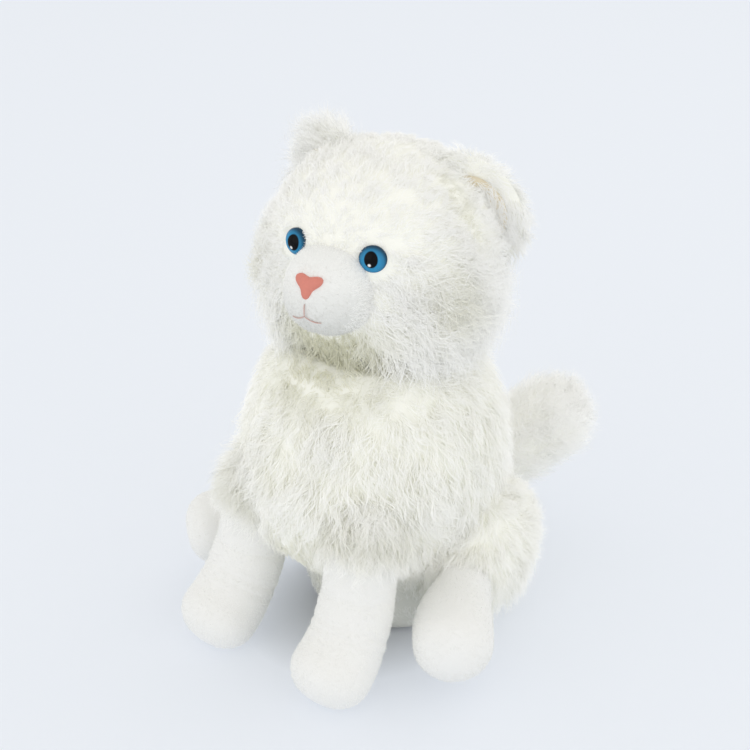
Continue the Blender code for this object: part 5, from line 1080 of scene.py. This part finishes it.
# Painted shade: the muzzle's nap dims toward its chin too.
shade = ramp(roots[:, 2], SHADE_FROM, SHADE_RUN)
muzzle_nap = cones("muzzle_nap", 121, roots, out, comb, MUZZLE_NAP, shade=shade)
face_nap = fibre("face_pile_nap", (0.86, 0.86, 0.845), (0.895, 0.895, 0.88), (0.79, 0.79, 0.77), 0.8)
furnish(muzzle_nap, face_nap, "head")
turn, height, roots, out = sown(muzzle_at, MUZZLE_LOCKS, dice)
back = (straight(roots)[:, 1] - muzzle_middle[1]) / MM
rise = (straight(roots)[:, 2] - MUZZLE_HEIGHT) / MM
keep = (back > -20 + 3 * dice.normal(size=len(back))) & (back < 0) & (rise > -13)
roots, out, back, rise = roots[keep], out[keep], back[keep], rise[keep]
comb = (straight(roots) - (muzzle_middle + (0, -28 * MM, 4 * MM))) @ head_spin.T
length = np.clip(2 + 0.5 * (back + 20), 1.5, 12) * np.where(rise > 12, 0.45, 1) * MM
style = dict(hairs=4, spread=2.4, thick=0.15, wild=0.3)
muzzle_fur = locks("muzzle_fur", 122, roots, out, comb, length, 0.35, **style)
furnish(muzzle_fur, head_fur, "head")


# Ears. A small furry flap on each side of the crown, tilted out and turned forward, with a tan lining in its
# cup and long fur round its rim. The right ear's fur is longer and grows over its lining.
EAR_HALF = np.array((33, 10, 24)) * MM
EAR_OUT = 46 * MM
EAR_BACK = 22 * MM
EAR_HEIGHT = HEAD_BOTTOM + HEAD_HEIGHT - 34 * MM
EAR_TILT = math.radians(55)
EAR_YAW = math.radians(24)
EAR_INSET = 1.5 * MM
EAR_LOCKS = 700
LINING_HALF_WIDTH = 20 * MM
LINING_HALF_HEIGHT = 15 * MM
LINING_THICK = 0.8 * MM
EAR_STYLES = {
    "left": dict(droop=0.12),
    "right": dict(droop=0.0, hairs=7, shares=LONG_HAIR, gather=0.92, wave=0.35, ruffle=0.3),
}
EAR_HAIRS = {"left": (9 * MM, 12 * MM, (0, 0.003, -0.006)), "right": (0, 21 * MM, (-0.016, -0.010, 0.006))}
tan_lining = cloth("tan_lining", (0.80, 0.72, 0.55), (0.74, 0.66, 0.49), 1400, 0.5)

for name, side in SIDES:
    tilt = np.array(Matrix.Rotation(side * EAR_YAW, 3, "Z") @ Matrix.Rotation(side * EAR_TILT, 3, "Y"))
    ear_middle = np.array((side * EAR_OUT, EAR_BACK, EAR_HEIGHT))

    def ear_at(turn, height, inset=EAR_INSET):
        """A flat oval, dished on its front."""
        local = ball(turn, height) * (EAR_HALF - inset)
        local[..., 1] = np.where(local[..., 1] < 0, 0.25 * local[..., 1], local[..., 1])
        return turned(ear_middle + local @ tilt.T)

    ear = shell(f"ear_skin_{name}", ear_at(*grid(np.linspace(0.02, 0.98, 30), 48)))
    dress(ear, backing, "head", "long_pile", f"ear_{name}")

    turns, rows = grid(np.array([1.0, 0.8, 0.5, 0.2, 0.02]), 40)
    a = 2 * np.pi * turns
    x, z = LINING_HALF_WIDTH * rows * np.cos(a), LINING_HALF_HEIGHT * rows * np.sin(a)
    dish = np.stack([x, -3.2 * MM + 1.6 * MM * (1 - rows**2), z], -1)
    rings = np.concatenate([dish[::-1] + (0, LINING_THICK, 0), dish])
    lining = shell(f"ear_lining_skin_{name}", turned(ear_middle + rings @ tilt.T))
    dress(lining, tan_lining, "head", "ear_lining", f"ear_lining_{name}", fill=0.2)

    bare, length, hang = EAR_HAIRS[name]
    turn, height, roots, out = sown(ear_at, EAR_LOCKS, np.random.default_rng(130 + side))
    local = (straight(roots) - ear_middle) @ tilt
    strip = (local[:, 1] < 0) & (np.abs(local[:, 2] + 4 * MM) < bare)
    keep = (local[:, 2] > -16 * MM) & ~strip
    roots, out, local = roots[keep], out[keep], local[keep]
    comb = (local * (0.4, 0, 0.3)) @ (head_spin @ tilt).T + np.array(hang)
    fur = locks(f"ear_fur_{name}", 132 + side, roots, out, comb, length, 0.55, wild=0.8, **EAR_STYLES[name])
    furnish(fur, head_fur, "head")


# Eyes. Blue domed safety eyes on stems, held from inside by lock washers: a clear coat over a painted iris
# and pupil, and a painted highlight where a window's reflection would be.
EYE_RADIUS = 7.5 * MM
EYE_DOME = 5.5 * MM
EYE_SPLAY = math.radians(18)
EYE_STEM = ((2.5, -19.5), (2.5, -2.7), (6.7, -2.5), (7.3, -1))
EYE_SIDES = 56
EYE_AIMS = ((-0.02, 0.2), (0.22, 0.16))
PUPIL_WIDE, PUPIL_TALL = 0.48, 0.58
IRIS_STOPS = (
    (0.0, (0.03, 0.25, 0.47)),
    (0.62, (0.035, 0.25, 0.47)),
    (0.84, (0.03, 0.18, 0.34)),
    (0.98, (0.015, 0.05, 0.09)),
)
iris, tree, shader = finish_with(
    "eye_iris", Roughness=0.12, Specular_IOR_Level=0.06, Coat_Weight=0.06, Coat_Roughness=0.02
)


def oval_on(chart, place, scale):
    """How far a point of a map lies from an oval's middle, where 1 is the oval's edge."""
    sheet = value_node(tree, "ShaderNodeUVMap", {"uv_map": chart})
    oval = value_node(tree, "ShaderNodeMapping", Location=(*place, 0), Scale=(*scale, 0))
    away = value_node(tree, "ShaderNodeVectorMath", {"operation": "LENGTH"})
    wire(tree, (sheet, "UV", oval, "Vector"), (oval, "Vector", away, 0))
    return away


iris_tint = value_node(tree, "ShaderNodeValToRGB")
stops = iris_tint.color_ramp.elements
for i, (share, colour) in enumerate((IRIS_STOPS[0], IRIS_STOPS[-1])):
    stops[i].position = share
    stops[i].color = (*colour, 1)
for share, colour in IRIS_STOPS[1:-1]:
    stops.new(share).color = (*colour, 1)
pupil = value_node(tree, "ShaderNodeMapRange", From_Min=0.94, From_Max=1.06)
pupil_colour = value_node(tree, "ShaderNodeMix", COLOUR_MIX, A=(0.003, 0.003, 0.004, 1))
# Painted highlight: a small pale spot below the pupil's middle stands in for a window's reflection.
painted_highlight = value_node(tree, "ShaderNodeMapRange", From_Min=0.07, From_Max=0.14)
painted_highlight_colour = value_node(tree, "ShaderNodeMix", COLOUR_MIX, A=(0.8, 0.82, 0.84, 1))
pupil_place = (-1 / PUPIL_WIDE, -1 / PUPIL_TALL)
pupil_scale = (2 / PUPIL_WIDE, 2 / PUPIL_TALL)
wire(
    tree,
    (oval_on("EyeFace", (-1, -1), (2, 2)), "Value", iris_tint, "Fac"),
    (oval_on("PupilFace", pupil_place, pupil_scale), "Value", pupil, "Value"),
    (oval_on("PupilFace", (-0.9, -0.62), (2, 2)), "Value", painted_highlight, "Value"),
    (pupil, "Result", pupil_colour, "Factor"),
    (iris_tint, "Color", pupil_colour, "B"),
    (painted_highlight, "Result", painted_highlight_colour, "Factor"),
    (pupil_colour, "Result", painted_highlight_colour, "B"),
    (painted_highlight_colour, "Result", shader, "Base Color"),
)

for (name, side), centre, aim in zip(SIDES, eye_middles, EYE_AIMS):
    looks = np.array((side * math.sin(EYE_SPLAY), -math.cos(EYE_SPLAY), 0))
    right = np.array((math.cos(EYE_SPLAY), side * math.sin(EYE_SPLAY), 0))
    dome = np.linspace(0, 1.5, 16)
    dome = np.stack([EYE_RADIUS * np.cos(dome), EYE_DOME * np.sin(dome)], -1)
    profile = np.concatenate([np.array(EYE_STEM) * MM, dome])[:, None, :, None]
    a = 2 * np.pi * np.arange(EYE_SIDES)[None, :, None] / EYE_SIDES
    rings = centre + profile[:, :, 0] * (right * np.cos(a) - DOWN * np.sin(a)) + profile[:, :, 1] * looks
    eye = shell(f"eye_dome_{name}", turned(rings))
    flat = straight(np.array([v.co for v in eye.data.vertices])) - centre
    chart = np.stack([flat @ right, flat[:, 2]], -1) / EYE_RADIUS * 0.5 + 0.5
    corners = np.array([corner.vertex_index for corner in eye.data.loops])
    for sheet, shift in (("EyeFace", (0, 0)), ("PupilFace", aim)):
        places = (chart - 0.5 * np.array(shift))[corners].astype(np.float32)
        eye.data.uv_layers.new(name=sheet).data.foreach_set("uv", places.ravel())
    furnish(eye, iris, "head")
    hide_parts(f"eye_{name}")


# Nose. A moulded coral button on a stem, a soft triangle with two round upper corners. It sits high on the
# muzzle and tilts up.
NOSE_HALF = 8.5 * MM
NOSE_THICK = 4.5 * MM
NOSE_RISE = 12 * MM
NOSE_LIFT = math.radians(18)
NOSE_STEM = ((2.5, -17), (2.5, -0.4))
NOSE_CORNERS = ((30, 0.5), (150, 0.5), (270, 0.38))
NOSE_ROUND = ((1, 0), (1, 0.35), (0.98, 0.6), (0.92, 0.8), (0.8, 0.92), (0.6, 0.98), (0.3, 1.0), (0.05, 1.0))
coral = moulded("nose_coral", (0.63, 0.21, 0.16), 0.6, 500, 0.2)
nose_deep = math.sqrt(1 - (NOSE_RISE / MUZZLE_HALF[2]) ** 2)
nose_middle = muzzle_middle + (0, -MUZZLE_HALF[1] * nose_deep + 2.5 * MM, NOSE_RISE)
nose_looks = np.array((0, -math.cos(NOSE_LIFT), math.sin(NOSE_LIFT)))
nose_up = np.array((0, math.sin(NOSE_LIFT), math.cos(NOSE_LIFT)))
a = 2 * np.pi * np.arange(72) / 72
reach = 0.5 + 0 * a
for corner, rise in NOSE_CORNERS:
    off = np.remainder(a - math.radians(corner) + np.pi, 2 * np.pi) - np.pi
    reach = reach + rise * hump(off, 0.55)
rows = [(radius * MM + 0 * a, out * MM) for radius, out in NOSE_STEM]
rows += [(NOSE_HALF * reach * share, out * NOSE_THICK) for share, out in NOSE_ROUND]
radius = np.array([row[0] for row in rows])[..., None]
out = np.array([row[1] for row in rows])[:, None, None]
across = np.cos(a)[:, None] * np.array((1.0, 0, 0)) + np.sin(a)[:, None] * nose_up
rings = nose_middle + radius * across + out * nose_looks
nose = shell("nose_button", turned(rings))
furnish(nose, coral, "head")
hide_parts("nose")


# Mouth. Pink thread stitched into the muzzle: a short line down from the nose and a lip to each side. The
# thread thins toward the ends of each line.
STITCH_RADIUS = 0.3 * MM
LIP_REACH = 8.5
thread = moulded("mouth_thread", (0.56, 0.36, 0.32), 0.8, 2500, 0.4)


def on_muzzle(x, z):
    """The muzzle's front at a place beside and above its middle."""
    half = MUZZLE_HALF - 0.6 * MM
    y = -half[1] * np.sqrt(np.maximum(1 - (x / half[0]) ** 2 - (z / half[2]) ** 2, 0))
    return muzzle_middle + np.stack([x, y, z], -1)


down = np.linspace(4, -3, 10)
lip = np.linspace(0, LIP_REACH, 14)
curl = -3 - 2.8 * np.sin(np.linspace(0, 1.9, 14))
strokes = {"mouth_middle": (0 * down, down), "mouth_left": (lip, curl), "mouth_right": (-lip, curl)}
for name, (x, z) in strokes.items():
    line = on_muzzle(x * MM, z * MM)
    way = unit(np.gradient(line, axis=0))
    side, other = across_of(way, (0, 1, 0))
    a = 2 * np.pi * np.arange(8)[None, :, None] / 8
    thick = STITCH_RADIUS * np.sin(np.linspace(0.5, np.pi - 0.5, len(x)))[:, None, None] ** 0.5
    rings = line[:, None] + (side[:, None] * np.cos(a) + other[:, None] * np.sin(a)) * thick
    furnish(shell(name, turned(rings)), thread, "head")
